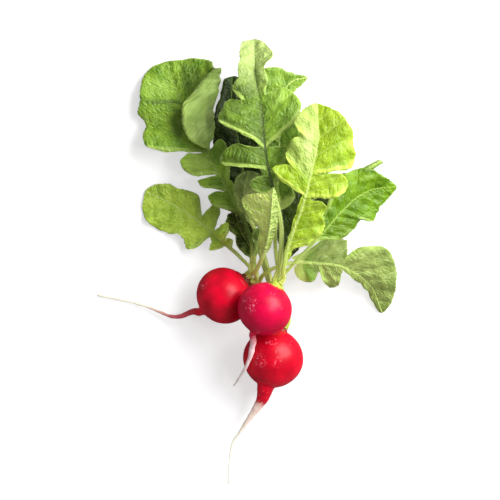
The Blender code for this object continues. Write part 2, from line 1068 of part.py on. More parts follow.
def bend_clear(sheet, heights):
    """How far each point of a leaf has to rise to lie on what is under it."""
    around = widened(heights)
    worst = np.full(np.subtract(sheet.middle.shape[:2], 1), -np.inf)
    for grid in (sheet.above, sheet.below):
        samples = face_samples(grid)
        worst = np.maximum(worst, (around[cells(samples)] + CLEARANCE - samples[..., 2]).max(axis=2))
    least = np.zeros(sheet.middle.shape[:2])
    for i, j in ((0, 0), (0, 1), (1, 0), (1, 1)):
        part = least[i : i + worst.shape[0], j : j + worst.shape[1]]
        np.maximum(part, worst, out=part)
    if least.shape[1] > 2 * len(PLAIN_STATIONS) + 3:
        least[:] = least.max(axis=1, keepdims=True)
    free = ease(sheet.share / FIXED_PETIOLE_SHARE - 1)[:, None]
    least = least * free
    lift = least
    for _ in range(SPREADING_PASSES):
        lift = np.maximum(least, blurred(lift) * free)
    return lift


def stack_leaves():
    """Every leaf's grid, each bent clear of the surface and of the leaves before it."""
    size = np.ceil((MAP_HIGH - MAP_LOW) / CELL).astype(int)
    heights = np.full(size, SURFACE_GAP - CLEARANCE)
    sheets = []
    for leaf in LEAVES:
        sheet = leaf_sheet(leaf)
        rise = bend_clear(sheet, heights)[..., None] * np.array([0, 0, 1])
        for grid in (sheet.middle, sheet.above, sheet.below):
            grid += rise
        for grid in (sheet.above, sheet.below):
            samples = face_samples(grid)
            np.maximum.at(heights, cells(samples), samples[..., 2])
        sheets.append(sheet)
    return sheets


def sheet_mesh(sheet):
    """Vertices and triangles of a closed solid round a leaf's grid, split alike above and below."""
    rows, columns = sheet.middle.shape[:2]
    count = rows * columns
    vertices = np.concatenate([sheet.above.reshape(-1, 3), sheet.below.reshape(-1, 3)])
    faces = []

    def top(row, column):
        return row * columns + column

    def low(row, column):
        return count + row * columns + column

    def quad(a, b, c, d):
        faces.extend([(a, b, c), (a, c, d)])

    for i in range(rows - 1):
        for j in range(columns - 1):
            quad(top(i, j), top(i, j + 1), top(i + 1, j + 1), top(i + 1, j))
            faces.append((low(i, j), low(i + 1, j + 1), low(i, j + 1)))
            faces.append((low(i, j), low(i + 1, j), low(i + 1, j + 1)))
        last = columns - 1
        quad(top(i, 0), top(i + 1, 0), low(i + 1, 0), low(i, 0))
        quad(top(i + 1, last), top(i, last), low(i, last), low(i + 1, last))
    for j in range(columns - 1):
        quad(top(0, j + 1), top(0, j), low(0, j), low(0, j + 1))
    end = rows - 1
    left, right = 0, columns - 1
    while right - left > 1:
        inward = left + 1 if sheet.rib - left >= right - sheet.rib else right - 1
        faces.append((top(end, right), top(end, left), top(end, inward)))
        faces.append((low(end, right), low(end, inward), low(end, left)))
        left, right = (inward, right) if inward == left + 1 else (left, inward)
    quad(top(end, 0), top(end, columns - 1), low(end, columns - 1), low(end, 0))
    return vertices, faces


def radish_line(radish):
    """The radish's axis from the neck's end to the root end, then the line of its root."""
    centre = np.array(radish.centre)
    depth = radish.radius * BULB_DEPTH
    inside, outside = (centre - radish.axis() * depth * share for share in (0.6, 1))
    return np.vstack([radish.crown(), smooth_line([inside, outside] + radish.root_route)])


def radish_places(radish, line, distance):
    """Points at distances from the neck's end: straight through the bulb, then bending into the root."""
    length = np.linalg.norm(np.diff(line, axis=0), axis=1).sum()
    on_line = along(line, np.clip(distance / length, 0, 1))
    straight = radish.crown() - radish.axis() * distance[:, None]
    bulb_end = 2 * radish.radius * BULB_DEPTH + NECK_LENGTH
    bent = ease((distance - bulb_end - ROOT_BEND_START) / ROOT_BEND_LENGTH)[:, None]
    return straight + (on_line - straight) * bent


def radish_radius(radish, distance, length):
    """The radius at a distance along the axis from the neck's end, bulb, neck and root run together."""
    depth = radish.radius * BULB_DEPTH
    from_centre = (distance - depth - NECK_LENGTH) / BULB_DEPTH
    ball = np.sqrt(np.clip(radish.radius**2 - from_centre**2, 0, None))
    neck = (radish.ring_radius + NECK_MARGIN) * (from_centre < -radish.radius * NECK_WITHIN)
    bulb_end = 2 * depth + NECK_LENGTH
    root_share = np.clip((distance - bulb_end) / (length - bulb_end), 0, 1)
    root = radish.root_radius * (1 - root_share) ** radish.root_taper + ROOT_TIP_RADIUS
    root *= ease((from_centre / radish.radius - ROOT_JOINS[0]) / ROOT_JOINS[1])
    return (ball**3 + neck**3 + root**3) ** (1 / 3)


def radish_mesh(radish):
    """A closed round skin along the radish's axis and root."""
    line = radish_line(radish)
    length = np.linalg.norm(np.diff(line, axis=0), axis=1).sum()
    turn = np.linspace(*BULB_TURNS, BULB_RINGS) * math.pi
    depth = radish.radius * BULB_DEPTH
    bulb = depth * (1 - np.cos(turn)) + NECK_LENGTH
    root = np.linspace(2 * depth + NECK_LENGTH + ROOT_STARTS_AFTER, length, ROOT_RINGS)
    distance = np.concatenate([[0, NECK_LENGTH], bulb, root])
    place = radish_places(radish, line, distance)
    forward = unit(np.gradient(place, axis=0))
    right = unit(np.cross(forward, [0, 0, 1]))
    up = np.cross(right, forward)
    radius = radish_radius(radish, distance, length)[:, None, None]
    angle = np.linspace(0, 2 * math.pi, BULB_SIDES, endpoint=False)[None, :, None]
    rings = place[:, None] + radius * (right[:, None] * np.cos(angle) + up[:, None] * np.sin(angle))
    count = len(distance)
    faces = [tuple(range(BULB_SIDES))]
    for i in range(count - 1):
        for j in range(BULB_SIDES):
            after = (j + 1) % BULB_SIDES
            here, ahead = i * BULB_SIDES, (i + 1) * BULB_SIDES
            faces.append((here + j, ahead + j, ahead + after, here + after))
    faces.append(tuple(reversed(range((count - 1) * BULB_SIDES, count * BULB_SIDES))))
    return rings.reshape(-1, 3), faces


def finish(name, roughness):
    """The plain material of one object, named after it."""
    made = bpy.data.materials.new(name + "_finish")
    made.use_nodes = True
    shader = made.node_tree.nodes["Principled BSDF"]
    shader.inputs["Base Color"].default_value = (*COLOURS[name], 1)
    shader.inputs["Roughness"].default_value = roughness
    shader.inputs["Metallic"].default_value = 0
    return made


def add_object(name, vertices, faces, anchor, roughness, flat_base=False):
    """One closed solid, with its object's origin at the anchor."""
    mesh = bpy.data.meshes.new(name)
    local = (np.asarray(vertices) - anchor) * METRES_PER_MM
    mesh.from_pydata(local.tolist(), [], faces)
    work = bmesh.new()
    work.from_mesh(mesh)
    if flat_base:
        surface = (0, 0, -anchor[2] * METRES_PER_MM)
        parts = work.verts[:] + work.edges[:] + work.faces[:]
        bmesh.ops.bisect_plane(work, geom=parts, plane_co=surface, plane_no=(0, 0, 1), clear_inner=True)
        bmesh.ops.holes_fill(work, edges=[edge for edge in work.edges if edge.is_boundary])
    bmesh.ops.recalc_face_normals(work, faces=work.faces)
    if work.calc_volume(signed=True) < 0:
        bmesh.ops.reverse_faces(work, faces=work.faces)
    bmesh.ops.triangulate(work, faces=work.faces)
    work.to_mesh(mesh)
    work.free()
    mesh.materials.append(finish(name, roughness))
    mesh.shade_smooth()
    made = bpy.data.objects.new(name, mesh)
    made.location = np.asarray(anchor) * METRES_PER_MM
    bpy.context.scene.collection.objects.link(made)
    return made


def centre_on_origin(objects):
    """Moves all the objects alike: the bunch stands on z = 0, its middle over the origin."""
    bpy.context.view_layer.update()
    corners = [obj.matrix_world @ vertex.co for obj in objects for vertex in obj.data.vertices]
    points = np.array(corners)
    low, high = points.min(axis=0), points.max(axis=0)
    shift = np.array([-(low[0] + high[0]) / 2, -(low[1] + high[1]) / 2, -low[2]])
    for obj in objects:
        obj.location = np.array(obj.location) + shift


def main():
    for obj in list(bpy.data.objects):
        bpy.data.objects.remove(obj)
    made = []
    for radish in RADISHES:
        vertices, faces = radish_mesh(radish)
        rests = radish.centre[2] < radish.radius
        centre = np.array(radish.centre)
        made.append(add_object(radish.name, vertices, faces, centre, SKIN_ROUGHNESS, rests))
    for leaf, sheet in zip(LEAVES, stack_leaves()):
        vertices, faces = sheet_mesh(sheet)
        made.append(add_object(leaf.name, vertices, faces, sheet.middle[0, sheet.rib], LEAF_ROUGHNESS))
    centre_on_origin(made)


if __name__ == "__main__":
    main()
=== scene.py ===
# %% A bunch of three radishes
import json
import math
from dataclasses import dataclass

import bpy
import numpy as np
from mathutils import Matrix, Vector

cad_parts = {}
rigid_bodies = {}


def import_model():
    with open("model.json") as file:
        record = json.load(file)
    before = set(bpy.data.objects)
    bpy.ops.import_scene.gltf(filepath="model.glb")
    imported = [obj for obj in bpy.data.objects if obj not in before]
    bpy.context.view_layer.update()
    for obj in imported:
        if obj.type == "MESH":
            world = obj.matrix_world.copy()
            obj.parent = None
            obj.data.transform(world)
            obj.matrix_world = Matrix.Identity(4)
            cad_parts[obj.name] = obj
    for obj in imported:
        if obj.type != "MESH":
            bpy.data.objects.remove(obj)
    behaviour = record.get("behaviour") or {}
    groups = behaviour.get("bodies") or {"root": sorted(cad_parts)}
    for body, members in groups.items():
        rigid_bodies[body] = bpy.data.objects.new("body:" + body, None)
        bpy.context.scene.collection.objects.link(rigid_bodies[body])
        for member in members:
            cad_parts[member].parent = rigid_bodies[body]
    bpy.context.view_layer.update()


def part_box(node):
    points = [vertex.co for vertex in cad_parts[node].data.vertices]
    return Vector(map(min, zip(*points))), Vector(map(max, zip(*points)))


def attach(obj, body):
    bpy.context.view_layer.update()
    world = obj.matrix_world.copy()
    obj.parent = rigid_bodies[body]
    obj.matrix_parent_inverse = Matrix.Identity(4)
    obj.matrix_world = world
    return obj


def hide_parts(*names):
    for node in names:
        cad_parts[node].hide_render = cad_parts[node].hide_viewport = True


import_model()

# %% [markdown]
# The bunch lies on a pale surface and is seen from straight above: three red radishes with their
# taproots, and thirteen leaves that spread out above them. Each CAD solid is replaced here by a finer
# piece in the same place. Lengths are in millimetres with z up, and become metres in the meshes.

METRES = 0.001

# %% [markdown]
# These are the shapes that the solids were made from: where each bulb lies and where its root runs,
# then every leaf's midrib and the outline of its blade as seen from above, from its base to its tip.

# %% Radishes
@dataclass
class Radish:
    """A bulb at centre, its neck pointing along heading and rise, and its root through root_route."""

    name: str
    centre: tuple
    radius: float
    heading: float
    rise: float
    root_radius: float
    root_taper: float
    root_route: list
    ring_radius: float

    def axis(self):
        """The unit vector from the root end to the leaf end."""
        turn = math.radians(self.heading)
        lift = math.radians(self.rise)
        flat = math.cos(lift)
        return np.array([math.cos(turn) * flat, math.sin(turn) * flat, math.sin(lift)])

    def crown(self):
        """The middle of the neck's end, where the petioles start."""
        return np.array(self.centre) + self.axis() * (self.radius * BULB_DEPTH + NECK_LENGTH)


BULB_DEPTH = 0.95
ROOT_JOINS = (0.35, 0.5)
ROOT_BEND_START = -1.5
ROOT_BEND_LENGTH = 6
NECK_MARGIN = 1.1
NECK_GAP = 0.9
NECK_LENGTH = 0.7
NECK_WITHIN = 0.9
ROOT_TIP_RADIUS = 0.4


@dataclass
class Leaf:
    """A leaf whose midrib runs from a radish's neck through route.

    left and right are the blade's outline from its base to its tip, as seen from above. A point of
    four numbers lies on a margin that is turned back over the blade: the last two are its crease.
    rise is how far each half climbs in its first 10 mm and bow what its next ones add, left and
    right. ripple is the height, number and start of the waves in the blade.
    """

    name: str
    plant: int
    clock: float
    route: list
    blade: float
    left: list
    right: list
    rise: tuple = (2, 2)
    bow: tuple = (-0.8, -0.8)
    ripple: tuple = (0.6, 3.0, 0.0)
    petiole: tuple = (1.3, 1.0)


RADISHES = [
    Radish(
        name="radish_left", centre=(-12.9, -22.8, 14.0), radius=14.25, heading=34, rise=6,
        root_radius=1.8, root_taper=3.4,
        root_route=[
            (-29.5, -31.0, 7.5), (-35, -33.2, 5.2), (-40, -33.0, 3.8), (-45, -31.0, 2.8),
            (-51, -28.6, 2.0), (-58, -26.4, 1.4), (-66, -24.6, 1.1), (-76.5, -22.4, 1.0),
        ],
        ring_radius=2.85,
    ),
    Radish(
        name="radish_centre", centre=(7.3, -29.3, 32.5), radius=13.7, heading=64, rise=4,
        root_radius=1.35, root_taper=1.2,
        root_route=[
            (1.6, -46.0, 29.6), (0.6, -51.5, 27.6), (-1.6, -57.5, 24.6), (-4.8, -63.0, 19.5),
            (-8.2, -68.0, 13.5),
        ],
        ring_radius=1.9,
    ),
    Radish(
        name="radish_lower", centre=(11.6, -54.0, 14.85), radius=15.1, heading=75, rise=0,
        root_radius=4, root_taper=3.4,
        root_route=[
            (7.1, -71.4, 13.8), (6.0, -74.2, 13.2), (4.6, -77.2, 12.2), (2.2, -80.4, 11.0),
            (-1.0, -85.0, 9.0), (-4.6, -90.4, 6.8), (-8.0, -95.0, 4.8), (-9.6, -100.5, 3.2),
            (-10.4, -108.0, 1.8), (-10.2, -117.0, 1.0),
        ],
        ring_radius=2.3,
    ),
]

# From the lowest leaf to the topmost: each one is bent clear of those before it.
LEAVES = [
    Leaf(
        name="leaf_back_long", plant=2, clock=240,
        route=[
            (13, -25.5, 7), (9.5, -16.5, 6.5), (6.5, -6.5, 8), (3.2, 5.5, 9.5), (0, 18.9, 10.5),
            (-3, 37, 10.5), (-5, 50, 10), (-7.2, 62, 8.5), (-9, 72, 5), (-9, 86.75, 1.5),
        ],
        blade=0.4,
        left=[
            (-2, 15), (-7, 20), (-11, 25), (-12.5, 32), (-14.5, 40), (-17, 48), (-18.5, 57), (-18, 66),
            (-16.5, 73), (-15, 76), (-14, 81), (-13, 85.25), (-10.75, 86.25),
        ],
        right=[
            (5, 15), (8.5, 24), (9, 33), (7, 42), (5.5, 52), (3, 61), (0.5, 70), (-2.5, 79),
            (-4.5, 85.5), (-7.25, 87),
        ],
        ripple=(0.8, 3.0, 0.6),
    ),
    Leaf(
        name="leaf_under_right", plant=2, clock=330,
        route=[
            (18, -27.5, 9), (15.5, -17.4, 8), (16.5, -6, 9), (20, 6, 10), (25, 17, 11), (32.5, 26, 12),
            (42, 33, 12), (52, 36.5, 11), (65.75, 44.75, 10),
        ],
        blade=0.3,
        left=[
            (14.5, 2), (12, 9), (11.5, 18), (12.5, 27), (16.5, 33), (22.5, 34.5), (27.5, 31), (33, 33),
            (40, 36), (48, 38.5), (55, 40.5), (60, 43), (64, 45),
        ],
        right=[
            (22, -2), (27, 5), (31, 12), (36, 18), (44, 24), (52, 30), (58, 36), (62, 40.5),
            (66.75, 43.5),
        ],
        ripple=(0.8, 3.0, 2.0),
    ),
    Leaf(
        name="leaf_crinkled", plant=0, clock=290,
        route=[
            (2.4, -7.2, 11), (1.8, -1.2, 9), (-1.5, 4.4, 8.5), (-4.8, 10, 8.5), (-7.5, 20, 8),
        ],
        blade=0.3,
        left=[
            (-3.5, -1), (-7, 3), (-7.5, 7), (-10.5, 10), (-12.5, 14.5), (-11, 18), (-8.5, 19.5),
        ],
        right=[
            (3.5, 0), (5, 5), (3.5, 9.5), (1, 12), (-0.5, 16), (-4, 19), (-6.5, 19.8),
        ],
        rise=(5, 4), bow=(0, 0), ripple=(1.2, 3.0, 0.0), petiole=(1.15, 0.8),
    ),
    Leaf(
        name="leaf_far_left", plant=0, clock=170,
        route=[
            (-4.2, -4.4, 12.5), (-10, 1, 8.5), (-15, 5, 6), (-20, 9.5, 4), (-26, 14.5, 2.5),
            (-32.5, 19, 1.5), (-40, 23.5, 1), (-52.5, 29.5, 1),
        ],
        blade=0.27,
        left=[
            (-13, 2), (-17, 0), (-20.5, 0), (-19, 4), (-20.5, 7), (-23, 5), (-27, 1), (-31.5, 0.5),
            (-33.5, 6), (-36, 8), (-44, 9.5), (-48, 11.5), (-52.5, 15.5), (-54, 22), (-53, 27),
        ],
        right=[
            (-8.5, 5), (-12.5, 6), (-10.5, 10.5), (-11, 14), (-14.5, 12), (-18, 9.5), (-16, 14.5),
            (-15, 20), (-17.5, 23), (-21, 20.5), (-24, 17), (-24.5, 22), (-26, 27.5), (-30, 29.5),
            (-35, 30.5), (-40, 33), (-46.5, 33), (-51, 31),
        ],
        rise=(1.2, 2), bow=(-0.6, -0.8), ripple=(0.7, 3.0, 1.0), petiole=(1.15, 0.85),
    ),
    Leaf(
        name="leaf_top_right", plant=2, clock=60,
        route=[
            (17.8, -26.4, 14), (15, -16.6, 13.5), (13.8, -7, 15), (12.6, 3, 19), (13, 20, 24),
            (14, 40, 27), (15, 60, 28), (16.5, 75, 27), (20, 83.5, 26), (28.9, 86.2, 25),
        ],
        blade=0.46,
        left=[
            (9, 30), (5.5, 38), (5, 46), (7, 50.5), (6, 56), (5, 64), (9, 69), (7, 76), (5.5, 84),
            (7, 90.5), (15, 91), (18.5, 89), (23.5, 87.5), (27.5, 86.8),
        ],
        right=[
            (15.5, 20), (20, 22.5), (22.5, 27), (21, 31.5), (22.5, 38), (25, 44), (26.5, 50),
            (26.5, 55), (25, 60), (23, 64.5), (24.5, 69.5), (25, 73), (19, 76.5), (23.5, 80.5),
            (27, 83.5), (28.5, 85),
        ],
        rise=(1, 2), bow=(0, -0.5),
    ),
    Leaf(
        name="leaf_top_left", plant=0, clock=230,
        route=[
            (0.8, -7, 13.5), (0.9, 1, 14), (-1, 9, 14.5), (-4.8, 18, 14.8), (-9.6, 27.5, 13.8),
            (-15, 37, 13), (-20, 45, 11.5), (-25.5, 56, 9), (-31, 68, 6.5), (-36, 78, 4),
            (-42, 94.25, 1),
        ],
        blade=0.26,
        left=[
            (-5.5, 17), (-12, 20), (-19, 22.5), (-21, 27), (-17, 29.5), (-12.5, 29), (-18, 30.5),
            (-24, 31.5), (-26, 34.5), (-22.5, 36), (-16.7, 37.5), (-22, 38), (-28, 37), (-33, 40),
            (-35, 44.5), (-31, 48), (-24, 48.5), (-33, 50.5), (-40, 49.5), (-49, 50.5), (-52, 52),
            (-53.5, 56), (-52, 62.5), (-56, 68), (-55, 75), (-54.5, 82), (-53, 87), (-49, 91.5),
            (-44, 93.5),
        ],
        right=[
            (-4, 22), (-6, 30), (-10, 35), (-11, 45), (-12, 53), (-15, 55.5), (-19.5, 50.5),
            (-22.5, 50.8, -19.8, 52.2), (-30, 55, -18.5, 55), (-33, 60, -18, 60), (-34, 66, -18, 66),
            (-33.5, 73, -18, 72), (-28.5, 78.5, -16, 79), (-23.5, 85, -15, 85), (-18.5, 90, -15, 90.5),
            (-18.5, 93.8), (-25, 95.5), (-32, 95.5), (-40, 94.5),
        ],
        rise=(0.6, 1), bow=(-0.3, 0), petiole=(1.15, 0.9),
    ),
    Leaf(
        name="leaf_pale_back", plant=2, clock=150,
        route=[
            (13.5, -25.8, 13), (10.8, -16.4, 12.5), (8, -5.9, 14.5), (4.6, 5.9, 18.5), (0.5, 14, 22),
            (-2, 22, 24), (-2.5, 30, 24.5), (-0.3, 39.2, 24),
        ],
        blade=0.68,
        left=[
            (-3.5, 18), (-7, 24), (-8.5, 30), (-7.5, 35), (-4, 38.5), (-1, 39.5),
        ],
        right=[
            (2.5, 18), (4.5, 25), (6, 31), (6, 36), (2.5, 39),
        ],
        rise=(-3, -3), bow=(0.5, 0.5),
    ),
    Leaf(
        name="leaf_low_right", plant=0, clock=350,
        route=[
            (6.5, -12.5, 18.5), (10.8, -9.6, 21.5), (17.3, -7.2, 23.5), (24.7, -6.2, 22),
            (33.6, -6.6, 19), (42, -7.4, 17), (49.4, -9.9, 14.5), (56, -13.8, 11), (61.5, -19.8, 6),
            (66, -31.5, 2),
        ],
        blade=0.33,
        left=[
            (21, -4), (25.5, -1.5), (30.5, 1), (35, 4.5), (41, 5.5), (48.3, 4.8), (48.6, 0.5),
            (48.5, -2.5), (51.5, -0.3), (55.5, 1.5), (60, 2), (64.5, 2), (68.5, 0.5), (71, -3),
            (73, -9), (73, -15), (72, -22.5), (69.5, -28), (67.5, -30.5),
        ],
        right=[
            (22, -9), (23.5, -13.5), (27.5, -16), (32, -15), (34.5, -10.5), (36, -15), (40, -19),
            (44, -17.5), (45.5, -12.5), (46.5, -10), (49.5, -12.5), (55.5, -17), (59, -21), (62, -27),
            (64.5, -31),
        ],
        rise=(1, -5), bow=(-0.8, 0), petiole=(1.15, 0.95),
    ),
    Leaf(
        name="leaf_small", plant=0, clock=110,
        route=[
            (1, -7.5, 22), (2.6, -2.5, 26), (3.8, 2.5, 28), (4.6, 6.5, 29), (5.4, 11, 29.5),
        ],
        blade=0.5,
        left=[
            (2.3, 2.5), (1, 6.5), (2, 10.5), (4, 11.2),
        ],
        right=[
            (5.5, 1.5), (7, 4), (8, 8), (6.8, 10.8),
        ],
        petiole=(1.1, 0.85),
    ),
    Leaf(
        name="leaf_far_right", plant=1, clock=285,
        route=[
            (22.4, -6.3, 35.5), (27.7, -0.5, 38), (33.1, 4.9, 40), (38.5, 11, 40), (45, 18.5, 39),
            (53, 26, 37), (62, 30.5, 34), (73.25, 31.5, 31),
        ],
        blade=0.36,
        left=[
            (33, 8), (35, 15), (38, 22), (40.5, 29), (42.5, 34.5), (45.5, 37.5), (50, 39), (56.5, 41),
            (60.5, 40.5), (64, 38.5), (68.5, 35.8), (72, 33),
        ],
        right=[
            (38, 5), (44.5, 5), (50.5, 9.5), (55, 14.5), (58, 15), (61.5, 14.5), (63, 17.5),
            (64.5, 21.5), (69.5, 26.5), (72.75, 30),
        ],
        rise=(3, -4), bow=(-1, 0), petiole=(1.1, 0.75),
    ),
    Leaf(
        name="leaf_top_centre", plant=1, clock=165,
        route=[
            (14.4, -9.5, 35), (15.4, 0, 37.5), (15.6, 9.7, 41), (14.2, 19.4, 44), (11.8, 29.1, 45),
            (9.6, 38.8, 45), (7.8, 48.6, 43), (6.8, 59.4, 40), (5.9, 70.8, 36), (4, 82.2, 31),
            (3, 92, 25), (2.2, 105.2, 18),
        ],
        blade=0.30,
        left=[
            (10, 26.5), (5, 28.5), (0.5, 31), (0.5, 34.5), (4, 36.5), (8.8, 37), (8.4, 41), (2.5, 41.9),
            (-5, 42.4), (-12.5, 42), (-15, 44), (-14, 47.5), (-10.5, 51.5), (-7, 53), (-1.5, 52),
            (5, 51.5), (2.5, 54), (-3, 57.5), (-9, 60.5), (-15, 63.5), (-16, 66.5), (-13.5, 70.5),
            (-11, 75), (-4.5, 74.5), (-6.5, 77), (-9, 80.5), (-6, 85.5), (-6, 90), (-5, 95), (-5, 100),
            (-4, 103.5), (0, 105),
        ],
        right=[
            (13.5, 33), (16, 41), (18.5, 47.5), (19, 51.5), (14, 51.3), (9.2, 51.5), (12.5, 55.2),
            (17, 59), (21.5, 63), (25, 69), (25.5, 72.5), (22, 78), (18.5, 80.5), (15, 81), (10.5, 79),
            (7.5, 78), (9, 83), (7, 90.5), (8.5, 93.5), (11.5, 98), (9.5, 101), (4.5, 105),
        ],
        rise=(2.6, 2.6), bow=(-1.6, -1.6), petiole=(1.35, 1.2),
    ),
    Leaf(
        name="leaf_bright", plant=1, clock=45,
        route=[
            (16.6, -10.5, 38.2), (18.4, -1.5, 42), (21.3, 8.7, 46), (25.1, 18.4, 50), (28, 28, 53),
            (30.3, 37.6, 54), (32.7, 47.2, 54), (34.3, 56, 53), (33.8, 64, 51), (33.4, 73, 48.5),
        ],
        blade=0.13,
        left=[
            (17.2, -2), (18.7, 4), (20.5, 10), (23, 18), (24.8, 24), (26.3, 27.5), (21, 31.8),
            (13.5, 36.5), (11, 40.5), (14.5, 42.3), (19.3, 42.8), (17.5, 47.5), (19.5, 52.5), (22, 56),
            (25.5, 56.5), (23, 61), (22, 64), (24.5, 67.5), (27, 70.5), (31.5, 73),
        ],
        right=[
            (21, -0.5), (25.5, 2), (30, 3), (34.5, 7), (37.5, 12.5), (36, 17), (38.5, 21), (36, 24),
            (31, 24.5), (30.5, 26.8), (34, 26.3), (39, 25.5), (44, 26.5), (48, 30), (48.5, 34.5),
            (45.5, 38), (40, 38), (33.5, 38.2), (44, 39.8), (50, 40.5), (52.5, 46), (51.5, 51),
            (51.5, 57.5), (48.5, 63.5), (44.5, 68.5), (41, 70), (35.5, 72.5),
        ],
        rise=(2.4, 1.6), bow=(-1.2, -1), petiole=(1.3, 1.05),
    ),
    Leaf(
        name="leaf_folded", plant=0, clock=50,
        route=[
            (2.8, -11.2, 23), (5.2, -5.8, 30.5), (7.5, 0.5, 38), (9, 7.5, 44.5), (10.2, 15, 50),
            (10.8, 22, 53.5), (11.5, 31.2, 55.5),
        ],
        blade=0.38,
        left=[
            (5, 9), (0.5, 15.5), (-3, 21), (-4.5, 24.5), (-3, 27), (2, 28), (7.5, 28.3), (10.5, 30.5),
        ],
        right=[
            (11.5, 5), (13, 11), (14, 20), (13.7, 26), (12.5, 30),
        ],
        rise=(-4, -6), bow=(0.6, 0), petiole=(1.15, 1.1),
    ),
]


# %% Constants of the coarse leaf sheets
BLADE_THICKNESS = 0.9
RIB_RADIUS_AT_TIP = 0.35
RIB_TAPER = 0.7
NARROWEST_AT = 0.4
PETIOLE_ROWS = 8
LEAVING_LENGTH = 3.5
LEAVING_SPREAD = 0.35
DIRECTION_STEP = 0.006
BLADE_OPENING = 12
ROUNDNESS_ABOVE = np.array([0.85, 0.75, 0.55, 0.4])
ROUNDNESS_BELOW = np.array([1, 0.9, 0.65, 0.4])
KEEL_BELOW = np.array([0.7, 0.4, 0, 0])
VEIN_SLANT = 0.62
LEAST_GAP = 0.006
LEAST_RULING_GAP = 0.06
LONGEST_EDGE = 8.0
SCALLOP = 0.07
SHALLOW_NOTCH = 2
DEEP_NOTCH = 10
CREASE_SHARE = 0.8
PLAIN_STATIONS = ((0.5, 0, 0), (1, 0, 0))
CREASED_STATIONS = ((0.5, 0, 0), (0.9, 0, 0.1), (1, 0, 0.5), (1, 0.12, 0.95), (1, 0.55, 1), (1, 1, 0.8))
CREASE_HEIGHT = 5.0
CREASE_EASED_OVER = 8

# How leaves that lie on each other are kept apart
CLEARANCE = 0.5
SURFACE_GAP = 0.05
CELL = 0.8
SAMPLES_PER_FACE = 5
SPREADING_PASSES = 14
FIXED_PETIOLE_SHARE = 0.16
MAP_LOW = np.array([-95.0, -135.0])
MAP_HIGH = np.array([95.0, 125.0])


# %% Coarse sheets, bent clear of each other
def smooth_line(points, steps=14):
    """A dense polyline on a smooth curve that passes through the points."""
    knots = np.array(points, float)
    knots = np.vstack([2 * knots[0] - knots[1], knots, 2 * knots[-1] - knots[-2]])
    share = np.linspace(0, 1, steps, endpoint=False)[:, None]
    spans = []
    for a, b, c, d in zip(knots, knots[1:], knots[2:], knots[3:]):
        linear = (c - a) * share
        square = (2 * a - 5 * b + 4 * c - d) * share**2
        cube = (3 * b - a - 3 * c + d) * share**3
        spans.append(0.5 * (2 * b + linear + square + cube))
    return np.vstack(spans + [knots[-2:-1]])


def lengths_on(line):
    """How far along a polyline each of its points is."""
    return np.concatenate([[0], np.cumsum(np.linalg.norm(np.diff(line, axis=0), axis=1))])


def along(line, share):
    """Points on a polyline at these shares of its length."""
    lengths = lengths_on(line)
    wanted = np.asarray(share, float) * lengths[-1]
    return np.stack([np.interp(wanted, lengths, line[:, k]) for k in range(3)], axis=-1)


def unit(vectors):
    """The vectors at length one."""
    return vectors / np.maximum(np.linalg.norm(vectors, axis=-1, keepdims=True), 1e-9)


def ease(value):
    """0 below 0, 1 above 1, and a smooth step between."""
    held = np.clip(value, 0, 1)
    return held * held * (3 - 2 * held)


def ring_place(radish, clock):
    """Where a petiole starts on the neck, clock degrees round from the neck's right side."""
    axis = radish.axis()
    right = unit(np.cross(axis, [0, 0, 1]))
    up = np.cross(right, axis)
    turn = math.radians(clock)
    return radish.ring_radius * (math.cos(turn) * right + math.sin(turn) * up)


def rib_line(leaf):
    """The midrib as a dense polyline, from the neck of its radish to its last point."""
    radish = RADISHES[leaf.plant]
    offset = ring_place(radish, leaf.clock)
    base = radish.crown() + offset + radish.axis() * NECK_GAP
    leaving = base + radish.axis() * LEAVING_LENGTH + offset * LEAVING_SPREAD
    return smooth_line([base, leaving] + leaf.route)


def direction(line, share):
    """Unit vectors along the line at these shares of it."""
    ahead = along(line, np.clip(share + DIRECTION_STEP, 0, 1))
    return unit(ahead - along(line, np.clip(share - DIRECTION_STEP, 0, 1)))


def to_right(line, share):
    """Level unit vectors to the right of the midrib at these shares of it."""
    return unit(np.cross(direction(line, share), [0, 0, 1]))


def rib_radius(leaf, share):
    """Half the width of the petiole, and of the midrib beyond it."""
    start, rest = leaf.petiole
    petiole = np.interp(share, [0, leaf.blade * NARROWEST_AT], [start, rest])
    taper = np.clip((share - leaf.blade) / (1 - leaf.blade), 0, 1)
    return petiole + (RIB_RADIUS_AT_TIP - petiole) * taper**RIB_TAPER


def in_order(values):
    """The nearest values that never fall: those in a falling run share its mean."""
    runs = []
    for value in values:
        runs.append([value, 1])
        while len(runs) > 1 and runs[-2][0] > runs[-1][0]:
            (first, many), (last, few) = runs[-2:]
            runs[-2:] = [[(first * many + last * few) / (many + few), many + few]]
    return np.concatenate([np.full(count, value) for value, count in runs])


@dataclass
class Margin:
    """One half's outline: where each vein starts, its end, its crease and if it is turned back."""

    start: np.ndarray
    edge: np.ndarray
    crease: np.ndarray
    turned: np.ndarray


